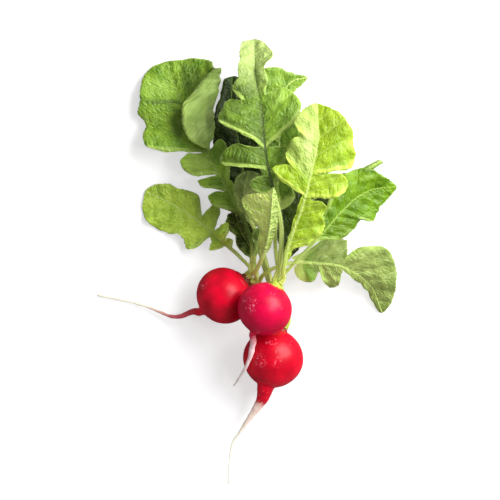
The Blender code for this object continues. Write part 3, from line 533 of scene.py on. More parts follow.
def margin_of(leaf, line, side):
    """The outline of a half with the share of the midrib that each of its points hangs on."""
    given = leaf.left if side < 0 else leaf.right
    base = along(line, [leaf.blade])
    foot = base + side * rib_radius(leaf, leaf.blade) * to_right(line, np.array([leaf.blade]))
    edge = np.vstack([foot[:, :2], [point[:2] for point in given]])
    turned = np.array([False] + [len(point) == 4 for point in given])
    crease = np.vstack([foot[:, :2], [point[-2:] for point in given]])
    flat = np.where(turned[:, None], 2 * crease - edge, edge)
    lengths = lengths_on(line)
    gaps = np.linalg.norm(flat[:, None] - line[None, :, :2], axis=2)
    start = (lengths[gaps.argmin(axis=1)] - gaps.min(axis=1) * VEIN_SLANT) / lengths[-1]
    start[0], start[-1] = leaf.blade, 1
    reach = gaps.min(axis=1)
    notch = np.pad((reach[1:-1] <= reach[:-2]) & (reach[1:-1] < reach[2:]), 1)
    shallow = 1 - np.clip((reach - SHALLOW_NOTCH) / (DEEP_NOTCH - SHALLOW_NOTCH), 0, 1)
    past = start + reach * VEIN_SLANT * shallow / lengths[-1]
    earliest = np.maximum.accumulate(np.where(notch, past, leaf.blade))
    earliest[1:], earliest[0] = earliest[:-1].copy(), leaf.blade
    latest = np.minimum.accumulate(np.where(notch, start, 1)[::-1])[::-1]
    least = np.arange(len(start)) * LEAST_GAP
    start = in_order(np.clip(start, earliest, latest) - least) + least
    start = np.clip(start, leaf.blade + least, 1 - least[::-1])
    part_way = CREASE_SHARE * edge + (1 - CREASE_SHARE) * along(line, start)[:, :2]
    crease = np.where(turned[:, None], crease, part_way)
    return Margin(start, edge, crease, turned.astype(float))


def outline_at(margin, share, side):
    """Edge, crease and turned share of an outline at shares of the midrib, scalloped between."""
    edge, crease = (
        np.stack([np.interp(share, margin.start, grid[:, k]) for k in range(2)], axis=1)
        for grid in (margin.edge, margin.crease)
    )
    index = np.clip(np.searchsorted(margin.start, share, side="right") - 1, 0, len(margin.start) - 2)
    within = (share - margin.start[index]) / (margin.start[index + 1] - margin.start[index])
    step = margin.edge[index + 1] - margin.edge[index]
    outward = side * np.stack([step[:, 1], -step[:, 0]], axis=1)
    back = 1 - 2 * np.interp(share, margin.start, margin.turned)
    swell = SCALLOP * 4 * within * (1 - within) * back * (share > margin.start[0])
    return edge + outward * swell[:, None], crease, np.interp(share, margin.start, margin.turned)


def row_shares(left, right):
    """Shares of the midrib for the blade's rows: at each outline point, and between far ones."""
    share = np.unique(np.round(np.concatenate([left.start, right.start]), 6))
    ends = [outline_at(margin, share, side)[0] for margin, side in ((left, -1), (right, 1))]
    longest = np.max([np.linalg.norm(np.diff(end, axis=0), axis=1) for end in ends], axis=0)
    halfway = ((share[1:] + share[:-1]) / 2)[longest > LONGEST_EDGE]
    return np.sort(np.concatenate([share, halfway]))


@dataclass
class Sheet:
    """A leaf's grid: rows from the neck to the tip, columns from the left margin to the right."""

    share: np.ndarray
    rib: int
    middle: np.ndarray
    above: np.ndarray
    below: np.ndarray


def untangled(place, edge, side):
    """The outline's points moved back a little where the next one's vein would pass them."""
    edge = edge.copy()
    for k in range(len(edge) - 2, -1, -1):
        ahead = unit(edge[k + 1] - place[k + 1])
        square = side * np.array([-ahead[1], ahead[0]])
        passed = np.dot(edge[k] - place[k + 1], square) + LEAST_RULING_GAP
        edge[k] -= max(passed, 0) * square
    return edge


def half_points(leaf, line, share, margin, side):
    """One half of the blade's middle surface, from just beside the midrib to the margin."""
    place = along(line, share)
    radius = rib_radius(leaf, share)[:, None]
    sideways = side * to_right(line, share)[:, :2]
    edge, crease, turned = outline_at(margin, share, side)
    petiole = (share < leaf.blade)[:, None]
    edge = np.where(petiole, place[:, :2] + sideways * radius, edge)
    crease = np.where(petiole, place[:, :2] + sideways * radius * 0.85, crease)
    stations = CREASED_STATIONS if margin.turned.any() else PLAIN_STATIONS
    if stations is PLAIN_STATIONS:
        crease = edge
    crease = untangled(place[:, :2], crease, side)
    edge = np.where(turned[:, None] > 0, edge, untangled(place[:, :2], edge, side))
    inner = place[:, :2] + unit(crease - place[:, :2]) * radius * 0.5
    plans = [inner]
    climbs = [np.zeros(len(share))]
    fold = CREASE_HEIGHT * turned * ease(np.linalg.norm(crease - inner, axis=1) / CREASE_EASED_OVER)
    for out, back, climb in stations:
        plans.append(inner + (crease - inner) * out + (edge - crease) * back)
        climbs.append(climb * fold)
    plan = np.stack(plans, axis=1)
    far = np.linalg.norm(plan - place[:, None, :2], axis=2) / 10
    half = 0 if side < 0 else 1
    blade_share = np.clip((share - leaf.blade) / (1 - leaf.blade), 0, 1)[:, None]
    height, waves, phase = leaf.ripple
    wave = height * np.sin(2 * math.pi * waves * blade_share + phase) * far**1.5
    shaped = leaf.rise[half] * far + leaf.bow[half] * far**2 + wave
    level = place[:, None, 2] + shaped * ease(share / leaf.blade)[:, None] + np.stack(climbs, axis=1)
    return np.concatenate([plan, level[..., None]], axis=2)


def grid_normals(grid, rib):
    """Unit vectors square to a leaf's grid, on its upper side, the same on both sides of the rib."""
    normals = unit(np.cross(np.gradient(grid, axis=1), np.gradient(grid, axis=0)))
    normals[:, rib] = unit(normals[:, rib - 1] + normals[:, rib + 1])
    return normals


def leaf_sheet(leaf):
    """The leaf's grid before it is bent clear of others, with its thickness above and below."""
    line = rib_line(leaf)
    left = margin_of(leaf, line, -1)
    right = margin_of(leaf, line, 1)
    for start in left.start:
        nearest = np.abs(right.start - start).argmin()
        if abs(right.start[nearest] - start) < LEAST_GAP * 0.8:
            right.start[nearest] = start
    petiole = np.linspace(0, leaf.blade, PETIOLE_ROWS, endpoint=False)
    share = np.concatenate([petiole, row_shares(left, right)])
    left_half = half_points(leaf, line, share, left, -1)[:, ::-1]
    right_half = half_points(leaf, line, share, right, 1)
    middle = np.concatenate([left_half, along(line, share)[:, None], right_half], axis=1)
    rib = left_half.shape[1]
    normals = grid_normals(middle, rib)
    radius = rib_radius(leaf, share)[:, None]
    wing = ease((share - leaf.blade) * BLADE_OPENING)[:, None]
    half = BLADE_THICKNESS / 2
    beside = np.minimum(np.abs(np.arange(middle.shape[1]) - rib), 3)
    above = radius * ROUNDNESS_ABOVE[beside] * (1 - wing) + half * wing
    below = radius * (ROUNDNESS_BELOW[beside] * (1 - wing) + KEEL_BELOW[beside] * wing) + half * wing
    upper = middle + normals * above[..., None]
    lower = middle - normals * below[..., None]
    return Sheet(share, rib, middle, upper, lower)


def face_samples(grid):
    """Points spread evenly over each face of a grid, as (rows, columns, samples, 3)."""
    shares = (np.arange(SAMPLES_PER_FACE) + 0.5) / SAMPLES_PER_FACE
    down, over = (x.ravel()[None, None, :, None] for x in np.meshgrid(shares, shares))
    near = grid[:-1, :-1, None] * (1 - over) + grid[:-1, 1:, None] * over
    far = grid[1:, :-1, None] * (1 - over) + grid[1:, 1:, None] * over
    return near * (1 - down) + far * down


def cells(points):
    """The height map's cell under each point."""
    index = ((points[..., :2] - MAP_LOW) / CELL).astype(int)
    return index[..., 0], index[..., 1]


def widened(heights):
    """The height map with each cell raised to its highest neighbour."""
    padded = np.pad(heights, 1, mode="edge")
    rows, columns = heights.shape
    shifts = [padded[i : i + rows, j : j + columns] for i in range(3) for j in range(3)]
    return np.max(shifts, axis=0)


def blurred(grid):
    """Each value mixed with its neighbours along the rows and down the columns."""
    for axis in (0, 1):
        count = grid.shape[axis]
        before = np.concatenate([grid.take([0], axis), grid.take(range(count - 1), axis)], axis)
        after = np.concatenate([grid.take(range(1, count), axis), grid.take([-1], axis)], axis)
        grid = (before + 2 * grid + after) / 4
    return grid


def spread(least, free):
    """The least rise of each point, run out smoothly round it as far as the leaf is free to bend."""
    least = least * free
    lift = least
    for _ in range(SPREADING_PASSES):
        lift = np.maximum(least, blurred(lift) * free)
    return lift


def bend_clear(sheet, heights):
    """How far each point of a leaf has to rise to lie on what is under it."""
    around = widened(heights)
    worst = np.full(np.subtract(sheet.middle.shape[:2], 1), -np.inf)
    for grid in (sheet.above, sheet.below):
        samples = face_samples(grid)
        worst = np.maximum(worst, (around[cells(samples)] + CLEARANCE - samples[..., 2]).max(axis=2))
    least = np.zeros(sheet.middle.shape[:2])
    for i, j in ((0, 0), (0, 1), (1, 0), (1, 1)):
        part = least[i : i + worst.shape[0], j : j + worst.shape[1]]
        np.maximum(part, worst, out=part)
    if least.shape[1] > 2 * len(PLAIN_STATIONS) + 3:
        least[:] = least.max(axis=1, keepdims=True)
    return spread(least, ease(sheet.share / FIXED_PETIOLE_SHARE - 1)[:, None])


def stack_leaves():
    """Every leaf's grid, each bent clear of the surface and of the leaves before it."""
    size = np.ceil((MAP_HIGH - MAP_LOW) / CELL).astype(int)
    heights = np.full(size, SURFACE_GAP - CLEARANCE)
    sheets = []
    for leaf in LEAVES:
        sheet = leaf_sheet(leaf)
        rise = bend_clear(sheet, heights)[..., None] * np.array([0, 0, 1])
        for grid in (sheet.middle, sheet.above, sheet.below):
            grid += rise
        for grid in (sheet.above, sheet.below):
            samples = face_samples(grid)
            np.maximum.at(heights, cells(samples), samples[..., 2])
        sheets.append(sheet)
    return sheets


def radish_line(radish):
    """The radish's axis from the neck's end to the root end, then the line of its root."""
    centre = np.array(radish.centre)
    depth = radish.radius * BULB_DEPTH
    inside, outside = (centre - radish.axis() * depth * share for share in (0.6, 1))
    return np.vstack([radish.crown(), smooth_line([inside, outside] + radish.root_route)])


def radish_places(radish, line, distance):
    """Points at distances from the neck's end: straight through the bulb, then bending into the root."""
    length = lengths_on(line)[-1]
    on_line = along(line, np.clip(distance / length, 0, 1))
    straight = radish.crown() - radish.axis() * distance[:, None]
    bulb_end = 2 * radish.radius * BULB_DEPTH + NECK_LENGTH
    bent = ease((distance - bulb_end - ROOT_BEND_START) / ROOT_BEND_LENGTH)[:, None]
    return straight + (on_line - straight) * bent


def radish_radius(radish, distance, length):
    """The radius at a distance along the axis from the neck's end, bulb, neck and root run together."""
    depth = radish.radius * BULB_DEPTH
    from_centre = (distance - depth - NECK_LENGTH) / BULB_DEPTH
    ball = np.sqrt(np.clip(radish.radius**2 - from_centre**2, 0, None))
    neck = (radish.ring_radius + NECK_MARGIN) * (from_centre < -radish.radius * NECK_WITHIN)
    bulb_end = 2 * depth + NECK_LENGTH
    root_share = np.clip((distance - bulb_end) / (length - bulb_end), 0, 1)
    root = radish.root_radius * (1 - root_share) ** radish.root_taper + ROOT_TIP_RADIUS
    root *= ease((from_centre / radish.radius - ROOT_JOINS[0]) / ROOT_JOINS[1])
    return (ball**3 + neck**3 + root**3) ** (1 / 3)


# %% [markdown]
# Each solid's grid is coarse. Splines through its rows and columns give the fine surface, which then
# gets what a step back already shows: rounded ribs, blades puffed up between their side veins,
# waved and toothed margins. A last settling keeps every leaf clear of the ones under it.

# %% Fine leaf grids
FINE_COLUMNS = 22
RIB_COLUMNS = 3
ROW_STEP = 0.62
BLADE_HALF = 0.17
MARGIN_HALF = 0.07
LEAST_HALF = 0.02
FINE_CLEARANCE = 0.12
POINTS_PER_COLUMN = 5
RIB_MARGIN = 1.1
FINE_OPENING = 24
TOOTH_PITCH = 2.7
TOOTH_DRIFTS = ((0.8, 4.1, 1), (0.5, 1.9, 2))
TOOTH_LEVEL = 0.6
TOOTH_POWER = 10
TOOTHED_REACH = 4
TOOTHLESS_END = 0.025
VEIN_PITCH = 6.5
WIDEST_VEIN_GAP = 40
SLOPE_PASSES = 3
LUMPS = ((9, 3), (5.2, 5), (2.7, 7))
WAVES_IN_LUMPS = 9
PUFFED_GAP = 7
WAVE_PITCH = 11.05
WAVED_REACH = 8


@dataclass
class Look:
    """How one leaf's blade is puffed, waved and toothed, and whether its underside faces up."""

    puff: float = 0.45
    crumple: float = 0.42
    crinkle: float = 0.1
    wave: float = 0.5
    tooth: float = 0.45
    turned_over: bool = False


def spline_rows(points, counts):
    """More rows between the given ones, on centripetal splines down each column."""
    reflected = np.concatenate([2 * points[:1] - points[1:2], points, 2 * points[-1:] - points[-2:-1]])
    gaps = np.linalg.norm(np.diff(reflected, axis=0), axis=-1, keepdims=True) ** 0.5
    gaps = np.maximum(gaps, 0.05)
    rows = []
    for i, count in enumerate(counts):
        a, b, c, d = reflected[i : i + 4]
        before, here, after = gaps[i : i + 3]
        leaving = here * ((b - a) / before - (c - a) / (before + here) + (c - b) / here)
        arriving = here * ((c - b) / here - (d - b) / (here + after) + (d - c) / after)
        for share in np.arange(count) / count:
            square, cube = share**2, share**3
            rows.append(
                (2 * cube - 3 * square + 1) * b
                + (cube - 2 * square + share) * leaving
                + (3 * square - 2 * cube) * c
                + (cube - square) * arriving
            )
    rows.append(points[-1])
    return np.array(rows)


def pick(line, distance):
    """Points of many polylines (rows, knots, 3) at these distances (rows, columns) along each."""
    steps = np.linalg.norm(np.diff(line, axis=1), axis=2)
    lengths = np.concatenate([np.zeros((len(line), 1)), np.cumsum(steps, axis=1)], axis=1)
    picked = np.empty(distance.shape + (3,))
    for i in range(len(line)):
        for k in range(3):
            picked[i, :, k] = np.interp(distance[i], lengths[i], line[i, :, k])
    return picked, lengths[:, -1:]


def swell_field(x, y, size, seed):
    """A smooth uneven field between about -1 and 1, with bumps about this size apart."""
    random = np.random.default_rng(seed)
    total = np.zeros_like(x)
    for _ in range(WAVES_IN_LUMPS):
        turn = random.uniform(0, 2 * math.pi)
        pace = 2 * math.pi / (size * random.uniform(0.7, 1.5))
        start = random.uniform(0, 2 * math.pi)
        total += np.sin((x * math.cos(turn) + y * math.sin(turn)) * pace + start)
    return total / (WAVES_IN_LUMPS / 2)


def margin_distance(points):
    """How far each point of a half is from its margin."""
    return np.array([np.linalg.norm(row[:, None] - points[:, -1], axis=2).min(axis=1) for row in points])


def vein_places(margin, leaf, line):
    """Shares of the midrib where a half's side veins leave it: one to each lobe, and some between."""
    reach = np.linalg.norm(margin.edge - along(line, margin.start)[:, :2], axis=1)
    tips = [k for k in range(1, len(reach) - 1) if reach[k] >= reach[k - 1] and reach[k] > reach[k + 1]]
    places = [leaf.blade] + [margin.start[k] for k in tips] + [1.0]
    middle = margin.edge * 0.5 + along(line, margin.start)[:, :2] * 0.5
    run = lengths_on(middle)
    full = [places[0]]
    for near, far in zip(places, places[1:]):
        if far - full[-1] < 0.004:
            continue
        length = np.interp(far, margin.start, run) - np.interp(near, margin.start, run)
        parts = max(1, round(length / VEIN_PITCH))
        full += [near + (far - near) * (k + 1) / parts for k in range(parts)]
    return np.array(full)


def fine_half(leaf, line, sheet, counts, share, side, look, seed):
    """One half from the rib out: its surface, how far its bumps rise and the marks for its finish."""
    coarse = sheet.middle[:, sheet.rib :: -1] if side < 0 else sheet.middle[:, sheet.rib :]
    knots = np.swapaxes(spline_rows(coarse, counts), 0, 1)
    dense = np.swapaxes(spline_rows(knots, [POINTS_PER_COLUMN] * (len(knots) - 1)), 0, 1)
    length = np.linalg.norm(np.diff(dense, axis=1), axis=2).sum(axis=1)[:, None]
    share = share[:, None]
    radius = rib_radius(leaf, share)
    wing = ease((share - leaf.blade) * FINE_OPENING)
    # A few columns lie over the rib in a blade, and they bunch at the sides of a petiole
    index = np.arange(FINE_COLUMNS + 1)
    column = index / FINE_COLUMNS
    over_rib = np.minimum(np.minimum(index / RIB_COLUMNS, 1) * RIB_MARGIN * radius, length * column)
    blade_share = np.clip((index - RIB_COLUMNS) / (FINE_COLUMNS - RIB_COLUMNS), 0, 1)
    outer = over_rib + (length - over_rib[:, RIB_COLUMNS, None]) * blade_share
    round_rib = length * np.sin(column * math.pi / 2)
    across = round_rib * (1 - wing) + np.minimum(outer, length) * wing
    points, length = pick(dense, across)
    step = np.linalg.norm(np.gradient(points, axis=0), axis=2)
    # Teeth, where the margin is a blade's
    out = unit(points[:, -1] - points[:, -3])[:, None]
    run = lengths_on(points[:, -1])[:, None]
    reach = np.linalg.norm(points[:, -1, :2] - points[:, 0, :2], axis=1)[:, None]
    drifted = run + sum(far * np.sin(run / pace + turn * seed) for far, pace, turn in TOOTH_DRIFTS)
    tooth = (np.abs(np.sin(math.pi * drifted / TOOTH_PITCH)) - TOOTH_LEVEL) * look.tooth
    tooth = tooth * (0.6 + 0.4 * np.sin(run / 7 + seed)) * wing * ease((1 - share) / TOOTHLESS_END)
    tooth = tooth * np.clip(across / np.maximum(length, 1e-6), 0, 1) ** TOOTH_POWER
    points += out * (tooth * np.clip(reach / TOOTHED_REACH, 0, 1))[..., None]
    # Marks: side veins counted along the midrib, distances, and where a blade's margin runs out
    places = vein_places(margin_of(leaf, line, side), leaf, line)
    count = np.where(share < leaf.blade, 0, np.interp(share, places, np.arange(len(places))))
    gap = np.clip(step / np.maximum(np.gradient(count, axis=0), 1e-4), 0, WIDEST_VEIN_GAP)
    rim = margin_distance(points)
    margin_step = np.linalg.norm(np.gradient(points[:, -1], axis=0), axis=1)
    slope = np.gradient(length[:, 0]) / np.maximum(margin_step, 0.05)
    for _ in range(SLOPE_PASSES):
        slope = np.convolve(np.pad(slope, 2, mode="edge"), np.full(5, 0.2), mode="valid")
    basal = ease(slope * 2.2 - 0.2)[:, None] * wing
    # Bumps of the blade, puffed up between its veins, and a margin in waves
    x, y = points[..., 0], points[..., 1]
    broad, close, fine = (swell_field(x, y, size, seed + start) for size, start in LUMPS)
    puffed = np.sin(math.pi * count) ** 2 * np.clip(gap / PUFFED_GAP, 0, 1.3) * (0.75 + 0.25 * broad)
    bump = look.puff * puffed + look.crumple * close + look.crinkle * fine
    bump *= wing * ease(across / 3) * ease(rim / 1.5 + 0.3)
    ripple = np.sin(run * 2 * math.pi / WAVE_PITCH + 1.4 * np.sin(run / 11 + seed))
    outward = np.clip(across / np.maximum(length, 1), 0, 1) ** 3
    bump += look.wave * ripple * outward * wing * np.clip(reach / WAVED_REACH, 0, 1)
    marks = {
        "vein_count": count, "vein_gap": gap, "across": across, "rim": rim, "rib_width": radius,
        "blade": wing, "basal": basal, "share": share,
    }
    return points, bump, {label: np.broadcast_to(values, gap.shape) for label, values in marks.items()}


def joined(left, right):
    """The left half's grid turned round and the right half's, with the rib between them once."""
    return np.concatenate([left[:, :0:-1], right], axis=1)


def fine_leaf(leaf, sheet, look, seed):
    """The fine grid of a leaf from the left margin to the right one."""
    line = rib_line(leaf)
    ends = np.stack([sheet.middle[:, 0], sheet.middle[:, sheet.rib], sheet.middle[:, -1]], axis=1)
    longest = np.linalg.norm(np.diff(ends, axis=0), axis=2).max(axis=1)
    counts = np.clip(np.ceil(longest / ROW_STEP), 2, 12).astype(int)
    share = np.concatenate(
        [np.linspace(a, b, n, endpoint=False) for a, b, n in zip(sheet.share, sheet.share[1:], counts)]
        + [sheet.share[-1:]]
    )
    left, left_bump, left_marks = fine_half(leaf, line, sheet, counts, share, -1, look, seed)
    right, right_bump, right_marks = fine_half(leaf, line, sheet, counts, share, 1, look, seed + 11)
    middle = joined(left, right)
    bump = joined(left_bump, right_bump)
    marks = {label: joined(left_marks[label], right_marks[label]) for label in left_marks}
    rib = FINE_COLUMNS
    marks["along"] = np.broadcast_to(lengths_on(middle[:, rib])[:, None], bump.shape)
    marks["side"] = marks["across"] * np.where(np.arange(bump.shape[1]) < rib, -1, 1)
    normals = grid_normals(middle, rib)
    for _ in range(2):
        normals = unit(blurred(normals))
    middle = middle + normals * bump[..., None] * (-1 if look.turned_over else 1)
    radius = marks["rib_width"]
    blade = marks["blade"]
    inside = np.clip(marks["across"] / np.maximum(radius, 1e-6), 0, 1)
    dome = np.sqrt(np.clip(1 - inside**2, 0, 1))
    groove = 0.3 * np.exp(-((inside / 0.4) ** 2))
    half = MARGIN_HALF + (BLADE_HALF - MARGIN_HALF) * ease(marks["rim"] / 1.2)
    petiole_up = radius * (0.85 * dome - 0.6 * groove) + LEAST_HALF
    petiole_down = radius * dome + LEAST_HALF
    up = petiole_up * (1 - blade) + (half + radius * (0.22 * dome - 0.12 * groove)) * blade
    down = petiole_down * (1 - blade) + (half + radius * 0.85 * dome) * blade
    if look.turned_over:
        up, down = down, up
    return middle, normals, up, down, marks


def settle(middle, up, down, normals, run, heights):
    """Raises a fine leaf where it would touch one below it, and adds it to the map of heights."""
    upper = middle + normals * up[..., None]
    lower = middle - normals * down[..., None]
    around = widened(heights)
    need = np.zeros(middle.shape[:2])
    for grid in (upper, lower):
        need = np.maximum(need, around[cells(grid)] + FINE_CLEARANCE - grid[..., 2])
    lift = spread(need, ease(run / (FIXED_PETIOLE_SHARE * run[-1:]) - 1))
    for grid in (upper, lower):
        grid[..., 2] += lift
        np.maximum.at(heights, cells(grid), grid[..., 2])
    return upper, lower


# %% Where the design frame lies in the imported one
def shift_between(sheets):
    """How far the solids were moved, in mm: from one leaf's coarse grid to its CAD node."""
    index = [leaf.name for leaf in LEAVES].index("leaf_bright")
    grid = np.concatenate([sheets[index].above.reshape(-1, 3), sheets[index].below.reshape(-1, 3)])
    low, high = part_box("leaf_bright")
    middle = (np.array(low) + np.array(high)) / 2 / METRES
    return middle - (grid.min(axis=0) + grid.max(axis=0)) / 2


SHEETS = stack_leaves()
SHIFT = shift_between(SHEETS)
print("shift of the design frame in mm", SHIFT.round(4))


# %% Faces of a leaf
def quads(*corners):
    """Faces from grids of their first, second, third and last corners."""
    return np.stack([corner.ravel() for corner in corners], axis=1)


def sheet_faces(rows, columns):
    """Faces of a closed sheet: the upper grid, the lower one turned round, and the rim between."""
    top = np.arange(rows * columns).reshape(rows, columns)
    low = top + top.size
    faces = [
        quads(top[:-1, :-1], top[:-1, 1:], top[1:, 1:], top[1:, :-1]),
        quads(low[:-1, :-1], low[1:, :-1], low[1:, 1:], low[:-1, 1:]),
        quads(top[:-1, 0], top[1:, 0], low[1:, 0], low[:-1, 0]),
        quads(top[1:, -1], top[:-1, -1], low[:-1, -1], low[1:, -1]),
        quads(top[0, 1:], top[0, :-1], low[0, :-1], low[0, 1:]),
        quads(top[-1, :-1], top[-1, 1:], low[-1, 1:], low[-1, :-1]),
    ]
    return np.concatenate(faces).tolist()


# %% [markdown]
# Finishes share one group, the net of veins; their mottle and grain are noise of a few sizes. A node's
# output is held as a Value, so that its arithmetic reads as a sum: each sign adds a node to the tree.

# %% Building node trees
def shade(red, green, blue):
    """A colour as seen on screen, 0 to 255, as the linear one that a shader takes."""
    seen = np.array([red, green, blue]) / 255
    linear = np.where(seen <= 0.04045, seen / 12.92, ((seen + 0.055) / 1.055) ** 2.4)
    return (*linear.tolist(), 1.0)


class Value:
    """What a node gives at one of its outputs. Every sign and step used on it adds a node."""

    def __init__(self, socket):
        self.socket = socket
        self.tree = socket.id_data

    def other(self, label):
        """Another output of the same node."""
        return Value(self.socket.node.outputs[label])

    def math(self, operation, second=0.0, clamp=False):
        """One step of arithmetic."""
        links = {0: self, 1: second}
        return put(self.tree, "ShaderNodeMath", links, operation=operation, use_clamp=clamp)

    def __add__(self, second):
        return self.math("ADD", second)

    def __sub__(self, second):
        return self.math("SUBTRACT", second)

    def __mul__(self, second):
        return self.math("MULTIPLY", second)

    def __truediv__(self, second):
        return self.math("DIVIDE", second)

    def most(self, second):
        """The greater of two values."""
        return self.math("MAXIMUM", second)

    def vector(self, operation, second, out=0):
        """One step of vector arithmetic, with a vector or with the value to scale by."""
        key = "Scale" if operation == "SCALE" else 1
        return put(self.tree, "ShaderNodeVectorMath", {0: self, key: second}, out, operation=operation)

    def ramp(self, low, high, start=0.0, end=1.0):
        """A smooth step from start to end while the value goes from low to high."""
        links = {"Value": self, "From Min": low, "From Max": high, "To Min": start, "To Max": end}
        return put(self.tree, "ShaderNodeMapRange", links, "Result", interpolation_type="SMOOTHSTEP")

    def fade(self, low, high):
        """A smooth step down from 1 to 0."""
        return self.ramp(low, high, 1.0, 0.0)

    def blend(self, *colours):
        """Two colours mixed. One given by three numbers is a colour as seen on screen."""
        first, second = (shade(*c) if isinstance(c, tuple) and len(c) == 3 else c for c in colours)
        return put(self.tree, "ShaderNodeMix", {0: self, 6: first, 7: second}, 2, data_type="RGBA")

    def noise(self, scale, detail=2.0, rough=0.5, out=0):
        """An uneven value, or colour at output 1, over the place that this vector gives."""
        links = {"Vector": self, "Scale": scale, "Detail": detail, "Roughness": rough}
        return put(self.tree, "ShaderNodeTexNoise", links, out)


def put(tree, kind, links=None, out=0, **settings):
    """A new node with its settings and its inputs, as the value that it gives at one output."""
    made = tree.nodes.new(kind)
    for name, value in settings.items():
        setattr(made, name, value)
    for key, value in (links or {}).items():
        if isinstance(value, Value):
            tree.links.new(value.socket, made.inputs[key])
        else:
            made.inputs[key].default_value = value
    return Value(made.outputs[out])


def new_tree(name, kind, inputs, outputs, output_kind):
    """A node tree with its sockets, and what comes in. An input is given by its value or its kind."""
    tree = bpy.data.node_groups.new(name, kind)
    for label, value in inputs.items():
        input_kind = {float: "Float", int: "Int"}.get(type(value), value)
        socket = tree.interface.new_socket(label, in_out="INPUT", socket_type="NodeSocket" + input_kind)
        if input_kind != value:
            socket.default_value = value
    for label in outputs:
        tree.interface.new_socket(label, in_out="OUTPUT", socket_type="NodeSocket" + output_kind)
    given = tree.nodes.new("NodeGroupInput")
    return tree, [Value(given.outputs[label]) for label in inputs]


def deliver(tree, *values):
    """Joins the values to the tree's outputs, in their order."""
    made = tree.nodes.new("NodeGroupOutput")
    for index, value in enumerate(values):
        tree.links.new(value.socket, made.inputs[index])
    return tree


def new_material(name):
    """A material and its tree."""
    made = bpy.data.materials.new(name)
    made.use_nodes = True
    return made, made.node_tree


def finished(material, colour, rough, height, relief, strength=1.0, specular=0.5):
    """The material with its shader joined to a colour, a roughness and a height for its bump."""
    tree = material.node_tree
    shader = tree.nodes["Principled BSDF"]
    bump = put(tree, "ShaderNodeBump", {"Height": height, "Strength": strength, "Distance": relief})
    for label, value in (("Base Color", colour), ("Roughness", rough), ("Normal", bump)):
        tree.links.new(value.socket, shader.inputs[label])
    shader.inputs["Specular IOR Level"].default_value = specular
    return material


def in_millimetres(tree):
    """The place of a piece's point."""
    return put(tree, "ShaderNodeTexCoord", out="Object").vector("SCALE", 1 / METRES)


# %% Veins of a blade
NET_SIZE = 2.4


def from_whole(value):
    """How far a value is from the nearest whole number."""
    return ((value + 0.5).math("FRACT") - 0.5).math("ABSOLUTE")


def vein_group():
    """Side veins at whole numbers of the count, finer ones between, and a net in the gaps."""
    inputs = {"Place": "Vector", "Count": 0.0, "Gap": 6.0, "Across": 0.0, "Reach": 0.5}
    outputs = ("Side", "Fine", "Net", "Pillow")
    tree, given = new_tree("leaf veins", "ShaderNodeTree", inputs, outputs, "Float")
    place, count, gap, across, reach = given
    bend = place.noise(0.22, 1.0) * 0.5 - 0.25
    bent = count + bend * across.ramp(1.0, 8.0)
    away = from_whole(bent) * gap
    width = reach * -0.26 + 0.38
    side = away.fade(width * 0.4, width * 1.7)
    third = from_whole(bent * 3.0 + bend * 1.6) * (gap / 3.0)
    fine = third.fade(0.05, 0.35) * across.ramp(1.0, 4.0)
    moved = place.vector("ADD", place.noise(0.5, 1.0, out=1).vector("SCALE", 1.2))
    links = {"Vector": moved, "Scale": 1 / NET_SIZE}
    web = put(tree, "ShaderNodeTexVoronoi", links, feature="DISTANCE_TO_EDGE")
    return deliver(tree, side, fine, web.fade(0.01, 0.1), web.ramp(0.0, 0.42) * away.ramp(0.0, 1.6))


VEINS = vein_group()


# %% Finish of a leaf
@dataclass
class Tone:
    """A leaf's colours, as seen on screen, and how strongly its veins and rims show.

    other holds the dark and light of the right half and of the rows below other_from, pale_other the
    right half's pale side. A zone is (low, high, start, end, colour) by shares of the midrib, and a
    spot is (x, y, half width, half length, strength, colour) in mm: painted shade where its colour is
    dark, painted light where it is pale. The rim colour is painted light along the thin margin, and
    also the pale band of curled basal margins.
    """

    dark: tuple = (86, 128, 42)
    light: tuple = (138, 176, 66)
    vein: tuple = (178, 206, 108)
    rim: tuple = (178, 206, 100)
    pale_dark: tuple = (140, 172, 76)
    pale_light: tuple = (176, 204, 112)
    stalk: tuple = (206, 226, 122)
    rib: tuple = (190, 214, 112)
    foot: tuple = (200, 216, 100)
    other: tuple = ()
    other_from: float = 0.0
    pale_other: tuple = ()
    zones: tuple = ()
    # spots of painted shade, where dark, and painted light, where pale
    shade_and_light_patches: tuple = ()
    rib_until: float = 2.0
    # how strongly the painted rim light along the thin margin shows
    rim_light_share: float = 0.5
    basal_rim: float = 0.6
    vein_share: float = 0.45
    net: float = 0.35
    pillow: float = 0.4
    relief: float = 0.0007


